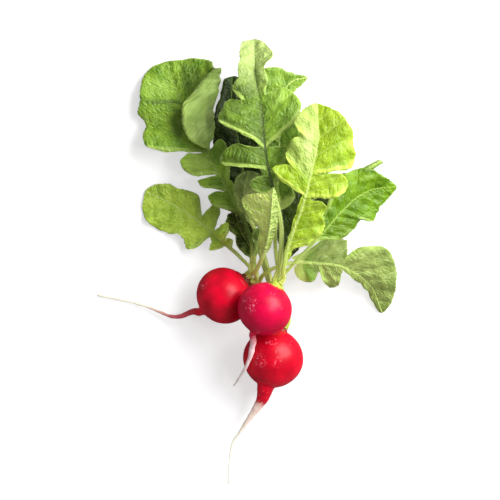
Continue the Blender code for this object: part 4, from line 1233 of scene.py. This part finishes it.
def leaf_finish(name, tone):
    """One leaf's skin: upper and pale under sides, veins, painted rim light, painted shade and light,
    pale petiole.
    """
    made, tree = new_material(name)
    place = put(tree, "ShaderNodeAttribute", out="Vector", attribute_name="place")
    labels = "across rim vein_gap vein_count rib_width blade under along side share basal"
    across, rim, gap, count, radius, blade, under, run, side, share, basal = (
        put(tree, "ShaderNodeAttribute", out="Fac", attribute_name=label) for label in labels.split()
    )
    reach = across / (across + rim + 0.001)
    links = {"Place": place, "Count": count, "Gap": gap, "Across": across, "Reach": reach}
    veins = put(tree, "ShaderNodeGroup", links, node_tree=VEINS)
    # Ground colours: mottled, by halves and zones, paler on the underside, with painted shade and
    # painted light in spots
    close = place.noise(0.6, 3.0, 0.6)
    mottle = (place.noise(0.12, 3.0, 0.55) * 1.5 + close * 0.5).ramp(0.65, 1.35)
    colour = mottle.blend(tone.dark, tone.light)
    right_half = side.ramp(-0.5, 0.5)
    if tone.other:
        lower = share.fade(tone.other_from - 0.01, tone.other_from + 0.01)
        colour = right_half.most(lower).blend(colour, mottle.blend(*tone.other))
    for low, high, start, end, shown in tone.zones:
        colour = share.ramp(low, high, start, end).blend(colour, shown)
    pale = mottle.blend(tone.pale_dark, tone.pale_light)
    if tone.pale_other:
        pale = right_half.blend(pale, tone.pale_other)
    colour = under.blend(colour, pale)
    spot = in_millimetres(tree)
    ragged = close * 0.9 - 0.45
    # Each spot is painted shade where its colour is dark and painted light where it is pale
    for x, y, half_x, half_y, strength, shown in tone.shade_and_light_patches:
        away = spot.vector("SUBTRACT", (x + float(SHIFT[0]), y + float(SHIFT[1]), 0.0))
        away = away.vector("MULTIPLY", (1 / half_x, 1 / half_y, 0.0))
        away = away.vector("DISTANCE", (0.0, 0.0, 0.0), "Value") + ragged
        colour = away.ramp(0.45, 1.25, strength, 0.0).blend(colour, shown)
    # Veins, painted rim light along the margins, the pale band of curled margins, and the rib over them
    lines = veins.most(veins.other("Fine") * 0.35).most(veins.other("Net") * tone.net) * blade
    colour = (lines * tone.vein_share).blend(colour, tone.vein)
    # Painted rim light: a bright band along the thin margin
    bright = rim.fade(0.2, 0.8) * tone.rim_light_share
    curled = rim.fade(1.6, 2.6) * basal
    colour = (bright.most(curled * tone.basal_rim) * blade).blend(colour, tone.rim)
    ribbed = across.fade(radius * 0.75, radius * 1.25)
    ribbed *= share.ramp(tone.rib_until - 0.1, tone.rib_until + 0.05, 1.0, 0.15)
    colour = ribbed.blend(colour, tone.rib)
    # The streaked petiole
    streak = place.vector("MULTIPLY", (3.0, 0.15, 1.0)).noise(1.0)
    stalk = run.ramp(2.0, 22.0).blend(tone.foot, tone.stalk)
    stalk = streak.ramp(0.35, 0.7, 0.0, 0.35).blend(stalk, tone.rib)
    colour = blade.blend(stalk, colour)
    grain = place.noise(2.2, 3.0)
    quilted = veins.other("Pillow") * blade * tone.pillow
    fold = place.vector("MULTIPLY", (0.5, 0.9, 1.0)).noise(0.75, 3.0, 0.55)
    height = (lines * 0.35 - quilted) * (under * 2.0 - 1.0) + fold * 0.35 + grain * 0.12
    return finished(made, colour, grain * 0.16 + 0.34, height, tone.relief, specular=0.34)


# %% Skin of the radishes
@dataclass
class Skin:
    """A radish's colours, as seen on screen, where along it they change, and where it is scuffed and
    where a highlight is painted.

    root_start and root_end are in mm from the neck, and a pale scratched spot is (x, y, z, size) in mm:
    a scuff, and on the lower bulb also one painted highlight.
    """

    dark: tuple
    light: tuple
    neck: tuple
    tail: tuple
    tip: tuple
    root_start: float
    root_end: float
    flecks: float
    stubs: float
    scuffs_and_highlight: tuple


# pale pink of scratches and of a painted highlight
SCRATCH_AND_HIGHLIGHT_PINK = (250, 140, 162)


def skin_finish(name, skin):
    """Red skin with pale flecks, scratches and a painted highlight, greenish at the neck, paling down
    the root.
    """
    made, tree = new_material(name)
    place = in_millimetres(tree)
    down = put(tree, "ShaderNodeAttribute", out="Fac", attribute_name="down")
    close = place.noise(0.7, 4.0, 0.6)
    mottle = (place.noise(0.09, 3.0) + close * 0.15).ramp(0.36, 0.78)
    spots = put(tree, "ShaderNodeTexVoronoi", {"Vector": place, "Scale": 0.45}).fade(0.1, 0.22)
    spots *= place.noise(0.16).ramp(0.54, 0.66)
    # pale scratched spots: scuffs, and one painted highlight on the lower bulb
    patch = 0.0
    for *scuff, size in skin.scuffs_and_highlight:
        centre = (np.array(scuff) + SHIFT).tolist()
        patch = place.vector("DISTANCE", centre, "Value").fade(size * 0.3, size).most(patch)
    scratches = place.noise(0.8, 3.0, 0.6).ramp(0.52, 0.64) * 0.6
    pale = (spots * skin.flecks).most(patch * scratches)
    colour = pale.blend(mottle.blend(skin.dark, skin.light), SCRATCH_AND_HIGHLIGHT_PINK)
    edge = down + (close * 8.0 - 4.0)
    colour = edge.ramp(skin.root_start, skin.root_end).blend(colour, skin.tail)
    colour = edge.ramp(skin.root_end, skin.root_end + 22).blend(colour, skin.tip)
    colour = (edge * 0.25 + down * 0.75).fade(0.5, 1.4).blend(colour, skin.neck)
    height = close * 0.5 + pale * 0.3 + place.noise(2.6, 3.0) * 0.25
    return finished(made, colour, close * 0.16 + 0.27 + pale * 0.25, height, 0.00022, 0.35, 0.24)


# %% [markdown]
# A radish's shape follows a rule, so Geometry Nodes make it: a line from the neck to the root's tip
# with a radius at each point becomes a round skin, which a low noise then makes uneven.

# %% Radish bodies
def marked(tree, label):
    """A mark that the geometry carries."""
    return put(tree, "GeometryNodeInputNamedAttribute", {"Name": label})


def dressed(tree, geometry, finish):
    """The tree, ended with real geometry that has its material on."""
    whole = put(tree, "GeometryNodeRealizeInstances", {"Geometry": geometry})
    return deliver(tree, put(tree, "GeometryNodeSetMaterial", {"Geometry": whole, "Material": finish}))


def radish_tree():
    """Line with a girth at each point -> closed uneven skin."""
    inputs = {
        "Line": "Geometry", "Sides": 96, "Unevenness": 0.0002, "Wrinkles": 0.00006, "Knobs": 0.0005,
        "Surface": 0.0, "Skin": "Material",
    }
    tree, given = new_tree("radish skin", "GeometryNodeTree", inputs, ["Radish"], "Geometry")
    line, sides, unevenness, wrinkles, knobs, surface, skin = given
    girth = marked(tree, "girth")
    curve = put(tree, "GeometryNodeMeshToCurve", {"Mesh": line})
    profile = put(tree, "GeometryNodeCurvePrimitiveCircle", {"Resolution": sides, "Radius": 1.0})
    links = {"Curve": curve, "Profile Curve": profile, "Scale": girth, "Fill Caps": True}
    tube = put(tree, "GeometryNodeCurveToMesh", links)
    place = put(tree, "GeometryNodeInputPosition")
    swell = (place.noise(75.0, 1.0) * 2.0 - 1.0) * unevenness * girth.math("DIVIDE", 0.012, clamp=True)
    knob = (place.noise(260.0, 1.0) * 2.0 - 1.0) * knobs * marked(tree, "knobby")
    crease = (place.noise(900.0, 2.0) * 2.0 - 1.0) * wrinkles
    offset = put(tree, "GeometryNodeInputNormal").vector("SCALE", swell + knob + crease)
    moved = put(tree, "GeometryNodeSetPosition", {"Geometry": tube, "Offset": offset})
    x = put(tree, "ShaderNodeSeparateXYZ", {0: place})
    held = put(tree, "ShaderNodeCombineXYZ", {0: x, 1: x.other("Y"), 2: x.other("Z").most(surface)})
    moved = put(tree, "GeometryNodeSetPosition", {"Geometry": moved, "Position": held})
    return dressed(tree, put(tree, "GeometryNodeSetShadeSmooth", {"Geometry": moved}), skin)


def grown(start, tree, values):
    """The object that a tree makes from a starting one, as a plain mesh with no modifier."""
    modifier = start.modifiers.new("shape", "NODES")
    modifier.node_group = tree
    inputs = [item for item in tree.interface.items_tree if item.in_out == "INPUT"]
    sockets = {item.name: item.identifier for item in inputs}
    for label, value in values.items():
        modifier[sockets[label]] = value
    bpy.context.view_layer.update()
    graph = bpy.context.evaluated_depsgraph_get()
    mesh = bpy.data.meshes.new_from_object(start.evaluated_get(graph))
    start.modifiers.clear()
    start.data = mesh
    return start


def add_object(name, mesh):
    """An object of a mesh in the scene."""
    made = bpy.data.objects.new(name, mesh)
    bpy.context.scene.collection.objects.link(made)
    return made


def add_mark(mesh, label, values):
    """A value, or a vector, kept at each point of a mesh."""
    kind, field = ("FLOAT_VECTOR", "vector") if np.ndim(values) == 2 else ("FLOAT", "value")
    attribute = mesh.attributes.new(label, kind, "POINT")
    attribute.data.foreach_set(field, np.asarray(values, np.float32).ravel())


NECK_REACH = 1.5
ROOT_STEP = 0.6
RADISH_TREE = radish_tree()


def radish_piece(radish, finish):
    """One radish: bulb, neck and root."""
    line = radish_line(radish)
    length = lengths_on(line)[-1]
    depth = radish.radius * BULB_DEPTH
    bulb_end = 2 * depth + NECK_LENGTH
    bulb = depth * (1 - np.cos(np.linspace(0.03, 0.96, 78) * math.pi)) + NECK_LENGTH
    root = np.arange(bulb_end + 0.25, length, ROOT_STEP)
    distance = np.concatenate([np.linspace(-NECK_REACH, 0.55, 9), bulb, root, [length]])
    girth = radish_radius(radish, np.clip(distance, 0, None), length)
    dome = np.clip((NECK_REACH + distance) / (NECK_REACH + 0.3), 0, 1)
    girth *= np.sqrt(np.clip(1 - (1 - dome) ** 2, 0.0004, 1))
    tip = np.clip((length - distance) / 0.8, 0, 1)
    girth *= np.sqrt(np.clip(1 - (1 - tip) ** 2, 0.01, 1))
    mesh = bpy.data.meshes.new(radish.name)
    points = (radish_places(radish, line, distance) + SHIFT) * METRES
    mesh.from_pydata(points.tolist(), [(k, k + 1) for k in range(len(points) - 1)], [])
    knobby = np.clip((distance - bulb_end - 2) / 4, 0, 1) * np.clip(girth / 1.2, 0.15, 1)
    for label, values in (("girth", girth * METRES), ("down", distance), ("knobby", knobby)):
        add_mark(mesh, label, values)
    made = add_object(radish.name + "_fine", mesh)
    return grown(made, RADISH_TREE, {"Sides": 96, "Skin": finish, "Surface": 0.00002})


# %% Pieces of the radishes
SKINS = {
    "radish_left": Skin(
        (180, 0, 28), (236, 0, 46), (112, 56, 34), (206, 84, 96), (244, 236, 212), 27, 42, 0.12, 0.7,
        ((-23.5, -17.5, 22, 3.5),),
    ),
    "radish_centre": Skin(
        (186, 0, 46), (222, 0, 66), (180, 200, 72), (246, 204, 208), (252, 238, 234), 27, 34, 0.3, 0.12,
        ((0.2, -27.5, 44, 5.5), (-3.0, -25.0, 40, 3.0)),
    ),
    # Its third pale spot, near the top of the bulb, is a painted highlight drawn as scratches
    "radish_lower": Skin(
        (186, 0, 30), (236, 0, 42), (150, 60, 40), (255, 224, 212), (255, 250, 226), 36.5, 41, 0.3, 0.04,
        ((10.5, -45.5, 27, 4.0), (5.0, -55.0, 28, 4.5), (13.5, -56.0, 29.5, 3.5)),
    ),
}


def place_piece(piece, node):
    """The piece rides with the bunch and stands for its CAD node."""
    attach(piece, "root")
    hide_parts(node)
    print(piece.name, len(piece.data.polygons), "faces")


for radish in RADISHES:
    finish = skin_finish(radish.name + "_skin", SKINS[radish.name])
    place_piece(radish_piece(radish, finish), radish.name)


# %% [markdown]
# Short stiff hairs stand on stalks, ribs and blades, and thin fibres on the roots. Both are scattered
# by Geometry Nodes on a copy of the finished skin, as dense as a mark on it says.

# %% Bristles and rootlets
def scattered_tree(name, bent, resolution):
    """Skin with a density mark -> tapered hairs standing on it, straight or bent."""
    inputs = {
        "Skin": "Geometry", "Density": 1.0e6, "Length": 0.0008, "Girth": 0.00004, "Lean": 0.5, "Seed": 0,
        "Finish": "Material",
    }
    tree, given = new_tree(name, "GeometryNodeTree", inputs, ["Hairs"], "Geometry")
    skin, density, length, girth, lean, seed, finish = given
    links = {"Mesh": skin, "Density": marked(tree, "hairy") * density, "Seed": seed}
    points = put(tree, "GeometryNodeDistributePointsOnFaces", links)
    middle = put(tree, "ShaderNodeCombineXYZ", {2: length * 0.6})
    end = put(tree, "ShaderNodeCombineXYZ", {0: length * bent, 2: length})
    links = {"Resolution": resolution, "Start": (0.0, 0.0, 0.0), "Middle": middle, "End": end}
    line = put(tree, "GeometryNodeCurveQuadraticBezier", links)
    profile = put(tree, "GeometryNodeCurvePrimitiveCircle", {"Resolution": 4, "Radius": girth})
    taper = put(tree, "GeometryNodeSplineParameter") * -0.88 + 1.0
    links = {"Curve": line, "Profile Curve": profile, "Scale": taper}
    hair = put(tree, "GeometryNodeCurveToMesh", links)
    links = {"Min": 0.5, "Max": 1.2, "Seed": seed}
    size = put(tree, "FunctionNodeRandomValue", links, 1, data_type="FLOAT")
    links = {"Points": points, "Instance": hair, "Rotation": points.other("Rotation"), "Scale": size}
    copies = put(tree, "GeometryNodeInstanceOnPoints", links)
    most = put(tree, "ShaderNodeCombineXYZ", {0: lean, 1: lean, 2: 3.1})
    links = {0: most.vector("SCALE", -1.0), 1: most, "Seed": seed}
    turn = put(tree, "FunctionNodeRandomValue", links, data_type="FLOAT_VECTOR")
    turned = put(tree, "GeometryNodeRotateInstances", {"Instances": copies, "Rotation": turn})
    return dressed(tree, turned, finish)


def hair_finish(name, dark, light):
    """A pale uneven finish for hairs and fibres."""
    made, tree = new_material(name)
    close = put(tree, "ShaderNodeTexCoord", out="Object").noise(900.0)
    colour = close.ramp(0.35, 0.65).blend(dark, light)
    return finished(made, colour, close * 0.3 + 0.35, close, 0.00002, 0.3)


BRISTLES = scattered_tree("bristles", 0.1, 2)
ROOTLETS = scattered_tree("rootlets", 0.7, 5)
BRISTLE_FINISH = hair_finish("bristle", (206, 220, 140), (240, 246, 206))
ROOTLET_FINISH = hair_finish("rootlet", (190, 150, 110), (240, 226, 196))


def scattered(piece, name, tree, hairy, values):
    """A piece of hairs that stand on another piece."""
    made = add_object(name, piece.data.copy())
    add_mark(made.data, "hairy", hairy)
    grown(made, tree, values)
    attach(made, "root")
    print(name, len(made.data.polygons), "faces")


for index, radish in enumerate(RADISHES):
    piece = bpy.data.objects[radish.name + "_fine"]
    down = np.zeros(len(piece.data.vertices), np.float32)
    piece.data.attributes["down"].data.foreach_get("value", down)
    bulb_end = 2 * radish.radius * BULB_DEPTH + NECK_LENGTH
    cluster = np.exp(-(((down - bulb_end - 1.2) / 1.1) ** 2)) * SKINS[radish.name].stubs
    hairy = (np.clip((down - bulb_end) / 1.5, 0, 1) * 0.09 + cluster) * (down < down.max() - 1.0)
    values = {"Density": 1.0e6, "Length": 0.0014, "Girth": 0.00004, "Lean": 0.6}
    values |= {"Seed": 31 + index, "Finish": ROOTLET_FINISH}
    scattered(piece, radish.name + "_rootlets", ROOTLETS, hairy, values)


# %% Pieces of the leaves
LOOKS = {
    "leaf_bright": Look(puff=0.45, crumple=0.4, wave=0.8, tooth=0.5),
    "leaf_low_right": Look(puff=0.45, crumple=0.35, wave=0.7, tooth=0.5),
    "leaf_folded": Look(turned_over=True, puff=0.3, crumple=0.3, crinkle=0.16, wave=0.3),
    "leaf_pale_back": Look(turned_over=True, puff=0.6, crumple=0.6, crinkle=0.2),
    "leaf_crinkled": Look(puff=0.8, crumple=0.8, crinkle=0.25, wave=1.0),
}
# Painted shade: dim veins and rims for leaves coloured near black because they lie in shade under others
SHADED_LEAF_LINES = {"vein": (96, 120, 50), "rim": (80, 104, 40), "vein_share": 0.2, "basal_rim": 0.2}
TONES = {
    # Painted shade: a dark stalk and rib where the petiole lies in shade, a dark zone on the lowest
    # lobes, which lie in shade under the blade, and bands of painted shade and light across its pleats
    "leaf_top_left": Tone(
        (96, 138, 26), (148, 184, 52), vein=(176, 204, 100), vein_share=0.3, rim_light_share=0.4,
        rib=(150, 180, 76), stalk=(84, 104, 34), zones=((0.26, 0.34, 1.0, 0.0, (70, 92, 26)),),
        shade_and_light_patches=(
            (-43.5, 74.0, 10, 1.6, 0.75, (80, 108, 32)),
            (-30.0, 85.0, 6.5, 8.0, 0.7, (78, 106, 32)),
            (-46.0, 81.5, 8.0, 4.5, 0.5, (156, 192, 84)),
            (-36.0, 63.0, 3.5, 9.0, 0.6, (84, 114, 34)),
            (-48.0, 66.0, 5.0, 4.0, 0.4, (140, 178, 60)),
            (-20.0, 66.0, 2.2, 12.0, 0.55, (104, 120, 66)),
            (-26.0, 43.5, 8.0, 6.0, 0.75, (156, 186, 76)),
        ),
    ),
    # Painted shade in the midrib's groove: the dark rib and the long dark spot beside it; the other two
    # spots are painted shade and painted light
    "leaf_top_centre": Tone(
        (68, 96, 18), (106, 138, 32), rib=(78, 100, 42), vein=(160, 186, 90), vein_share=0.35,
        rim=(176, 204, 96), basal_rim=1.0, zones=((0.7, 0.9, 0.0, 0.9, (182, 204, 120)),),
        relief=0.00065, other=((94, 132, 26), (144, 182, 54)), rib_until=0.72,
        shade_and_light_patches=(
            (-6.5, 71.0, 4.5, 3.0, 0.6, (88, 112, 44)),
            (6.0, 62.0, 2.4, 14.0, 0.6, (84, 106, 38)),
            (12.5, 77.0, 4.0, 4.5, 0.45, (150, 184, 74)),
        ),
    ),
    # Painted sheen: the pale whitish tone of the left half above other_from, and the pale spot on it;
    # the other two spots are painted shade and painted light
    "leaf_bright": Tone(
        (146, 174, 66), (172, 196, 94), rim=(204, 226, 90), rim_light_share=0.35, vein=(212, 230, 134),
        vein_share=0.35, other=((128, 162, 16), (160, 190, 32)), other_from=0.6,
        stalk=(178, 204, 92), rib=(196, 218, 112), relief=0.00045,
        shade_and_light_patches=(
            (41.0, 62.0, 3.5, 7.0, 0.55, (128, 156, 18)),
            (50.0, 60.0, 3.5, 9.0, 0.4, (184, 210, 60)),
            (29.0, 54.0, 3.0, 9.0, 0.5, (204, 222, 136)),
        ),
    ),
    # Painted shade on the lower half, which faces away from the light, and painted light on the upper
    # half, as two spots
    "leaf_far_right": Tone(
        (76, 114, 0), (112, 152, 8), vein=(130, 166, 30), stalk=(186, 210, 110), rib=(140, 170, 64),
        relief=0.00045, vein_share=0.3, net=0.2, rim_light_share=0.3,
        shade_and_light_patches=(
            (46.0, 10.5, 9.0, 4.5, 0.75, (92, 120, 14)),
            (54.0, 36.5, 8.0, 3.0, 0.5, (134, 170, 30)),
        ),
    ),
    "leaf_low_right": Tone(
        (116, 140, 60), (156, 174, 90), vein=(184, 202, 124), vein_share=0.3, relief=0.0005,
        rim_light_share=0.35, zones=((0.36, 0.42, 1.0, 0.0, (104, 144, 36)),),
    ),
    "leaf_far_left": Tone((144, 180, 44), (188, 218, 74), vein=(204, 226, 116), relief=0.00065),
    # Painted shade: these two leaves lie under the others and are coloured near black; the tip of
    # leaf_under_right, out of that shade, is lighter
    "leaf_back_long": Tone((32, 44, 12), (60, 80, 24), rib=(104, 132, 56), **SHADED_LEAF_LINES),
    "leaf_under_right": Tone(
        (40, 54, 12), (72, 96, 24), zones=((0.88, 0.95, 0.0, 1.0, (150, 180, 80)),),
        foot=(166, 184, 58), **SHADED_LEAF_LINES,
    ),
    "leaf_top_right": Tone((94, 130, 34), (142, 178, 58), vein_share=0.3, foot=(166, 184, 58)),
    "leaf_crinkled": Tone((48, 66, 16), (92, 118, 34), vein_share=0.3, relief=0.001),
    "leaf_small": Tone((92, 120, 40), (130, 156, 60)),
    "leaf_pale_back": Tone(
        pale_dark=(124, 148, 70), pale_light=(188, 206, 116), vein=(206, 222, 140), net=0.8,
        relief=0.0012, shade_and_light_patches=((18.0, 28.0, 6.0, 9.0, 0.85, (98, 128, 46)),),
    ),
    "leaf_folded": Tone(
        pale_dark=(206, 234, 96), pale_light=(236, 252, 130), pale_other=(146, 174, 74),
        vein=(240, 250, 168), vein_share=0.65, net=0.8, pillow=0.6,
    ),
}


def leaf_piece(leaf, sheet, look, index, heights):
    """One leaf as a closed fine sheet, clear of the leaves before it, and its marks."""
    middle, normals, up, down, marks = fine_leaf(leaf, sheet, look, 17 * index + 5)
    upper, lower = settle(middle, up, down, normals, marks["along"], heights)
    count = upper.shape[0] * upper.shape[1]
    both = {label: np.tile(np.ravel(values), 2) for label, values in marks.items()}
    both["under"] = np.repeat([1.0, 0.0] if look.turned_over else [0.0, 1.0], count)
    both["place"] = np.stack([both["side"], both["along"], np.full(2 * count, index * 40.0)], axis=1)
    mesh = bpy.data.meshes.new(leaf.name + "_fine")
    points = (np.concatenate([upper.reshape(-1, 3), lower.reshape(-1, 3)]) + SHIFT) * METRES
    mesh.from_pydata(points.tolist(), [], sheet_faces(*upper.shape[:2]))
    for label, values in both.items():
        add_mark(mesh, label, values)
    mesh.update()
    mesh.shade_smooth()
    mesh.materials.append(leaf_finish(leaf.name + "_skin", TONES[leaf.name]))
    return add_object(leaf.name + "_fine", mesh), both


heights = np.full(np.ceil((MAP_HIGH - MAP_LOW) / CELL).astype(int), SURFACE_GAP - FINE_CLEARANCE)
for index, (leaf, sheet) in enumerate(zip(LEAVES, SHEETS)):
    piece, marks = leaf_piece(leaf, sheet, LOOKS.get(leaf.name, Look()), index, heights)
    place_piece(piece, leaf.name)
    on_rib = marks["across"] < marks["rib_width"] * 1.3
    hairy = np.where(on_rib, 0.8, np.where(marks["rim"] < 0.4, 0.45, 0.16))
    hairy = np.where(marks["blade"] < 0.5, 1.0, hairy)
    values = {"Density": 1.1e6, "Length": 0.0009, "Girth": 0.000045, "Lean": 0.5}
    values |= {"Seed": 61 + index, "Finish": BRISTLE_FINISH}
    scattered(piece, leaf.name + "_bristles", BRISTLES, hairy, values)

# %% [markdown]
# A white surface, an even white surround, one large soft light from the right and a small one.

# %% Surface, camera and lights
SURFACE_HALF = 3.0
SURFACE_LEVEL = -0.0002
SURFACE_GREY = (0.6, 0.6, 0.6, 1)
SURFACE_IN_MIRRORS = (0.12, 0.12, 0.12, 1)
SURFACE_GLOW = 0.54
surface_finish, tree = new_material("white_surface")
path = put(tree, "ShaderNodeLightPath", out="Is Camera Ray")
dimmed = path.other("Is Glossy Ray").most(path.other("Is Diffuse Ray") * 0.5)
shader = tree.nodes["Principled BSDF"]
tree.links.new(dimmed.blend(SURFACE_GREY, SURFACE_IN_MIRRORS).socket, shader.inputs["Base Color"])
tree.links.new((path * SURFACE_GLOW).socket, shader.inputs["Emission Strength"])
shader.inputs["Emission Color"].default_value = (1, 1, 1, 1)
shader.inputs["Roughness"].default_value = 0.9
surface_mesh = bpy.data.meshes.new("surface")
corners = [(-1, -1), (1, -1), (1, 1), (-1, 1)]
corners = [(x * SURFACE_HALF, y * SURFACE_HALF, SURFACE_LEVEL) for x, y in corners]
surface_mesh.from_pydata(corners, [], [(0, 1, 2, 3)])
surface_mesh.materials.append(surface_finish)
add_object("surface", surface_mesh)

CAMERA_HEIGHT = 10.0
PICTURE_WIDTH = 0.25
SENSOR_WIDTH = 36
camera_data = bpy.data.cameras.new("camera")
camera_data.sensor_width = SENSOR_WIDTH
camera_data.lens = SENSOR_WIDTH * CAMERA_HEIGHT / PICTURE_WIDTH
camera_data.clip_end = 100
camera = add_object("camera", camera_data)
camera.location = (SHIFT[0] * METRES, SHIFT[1] * METRES, CAMERA_HEIGHT)
bpy.context.scene.camera = camera

for name, place, size, power in (
    ("right softbox", (0.52, 0.36, 0.50), 0.60, 11.6),
    ("small right softbox", (0.42, 0.0, 0.80), 0.16, 1.4),
):
    data = bpy.data.lights.new(name, "AREA")
    data.size = size
    data.energy = power
    light = add_object(name, data)
    light.location = place
    light.rotation_euler = (-Vector(place)).to_track_quat("-Z", "Y").to_euler()

world = bpy.data.worlds.new("surround")
world.use_nodes = True
tree = world.node_tree
way = put(tree, "ShaderNodeTexCoord", out="Generated")
upward = put(tree, "ShaderNodeSeparateXYZ", {0: way}, "Z")
in_mirrors = put(tree, "ShaderNodeLightPath", out="Is Glossy Ray") * -0.75 + 1.0
brightness = upward.ramp(0.55, 0.95, 0.5, 0.2) * in_mirrors
tree.links.new(brightness.socket, tree.nodes["Background"].inputs["Strength"])
tree.nodes["Background"].inputs["Color"].default_value = (1, 1, 1, 1)
bpy.context.scene.world = world
bpy.context.scene.view_settings.view_transform = "Standard"
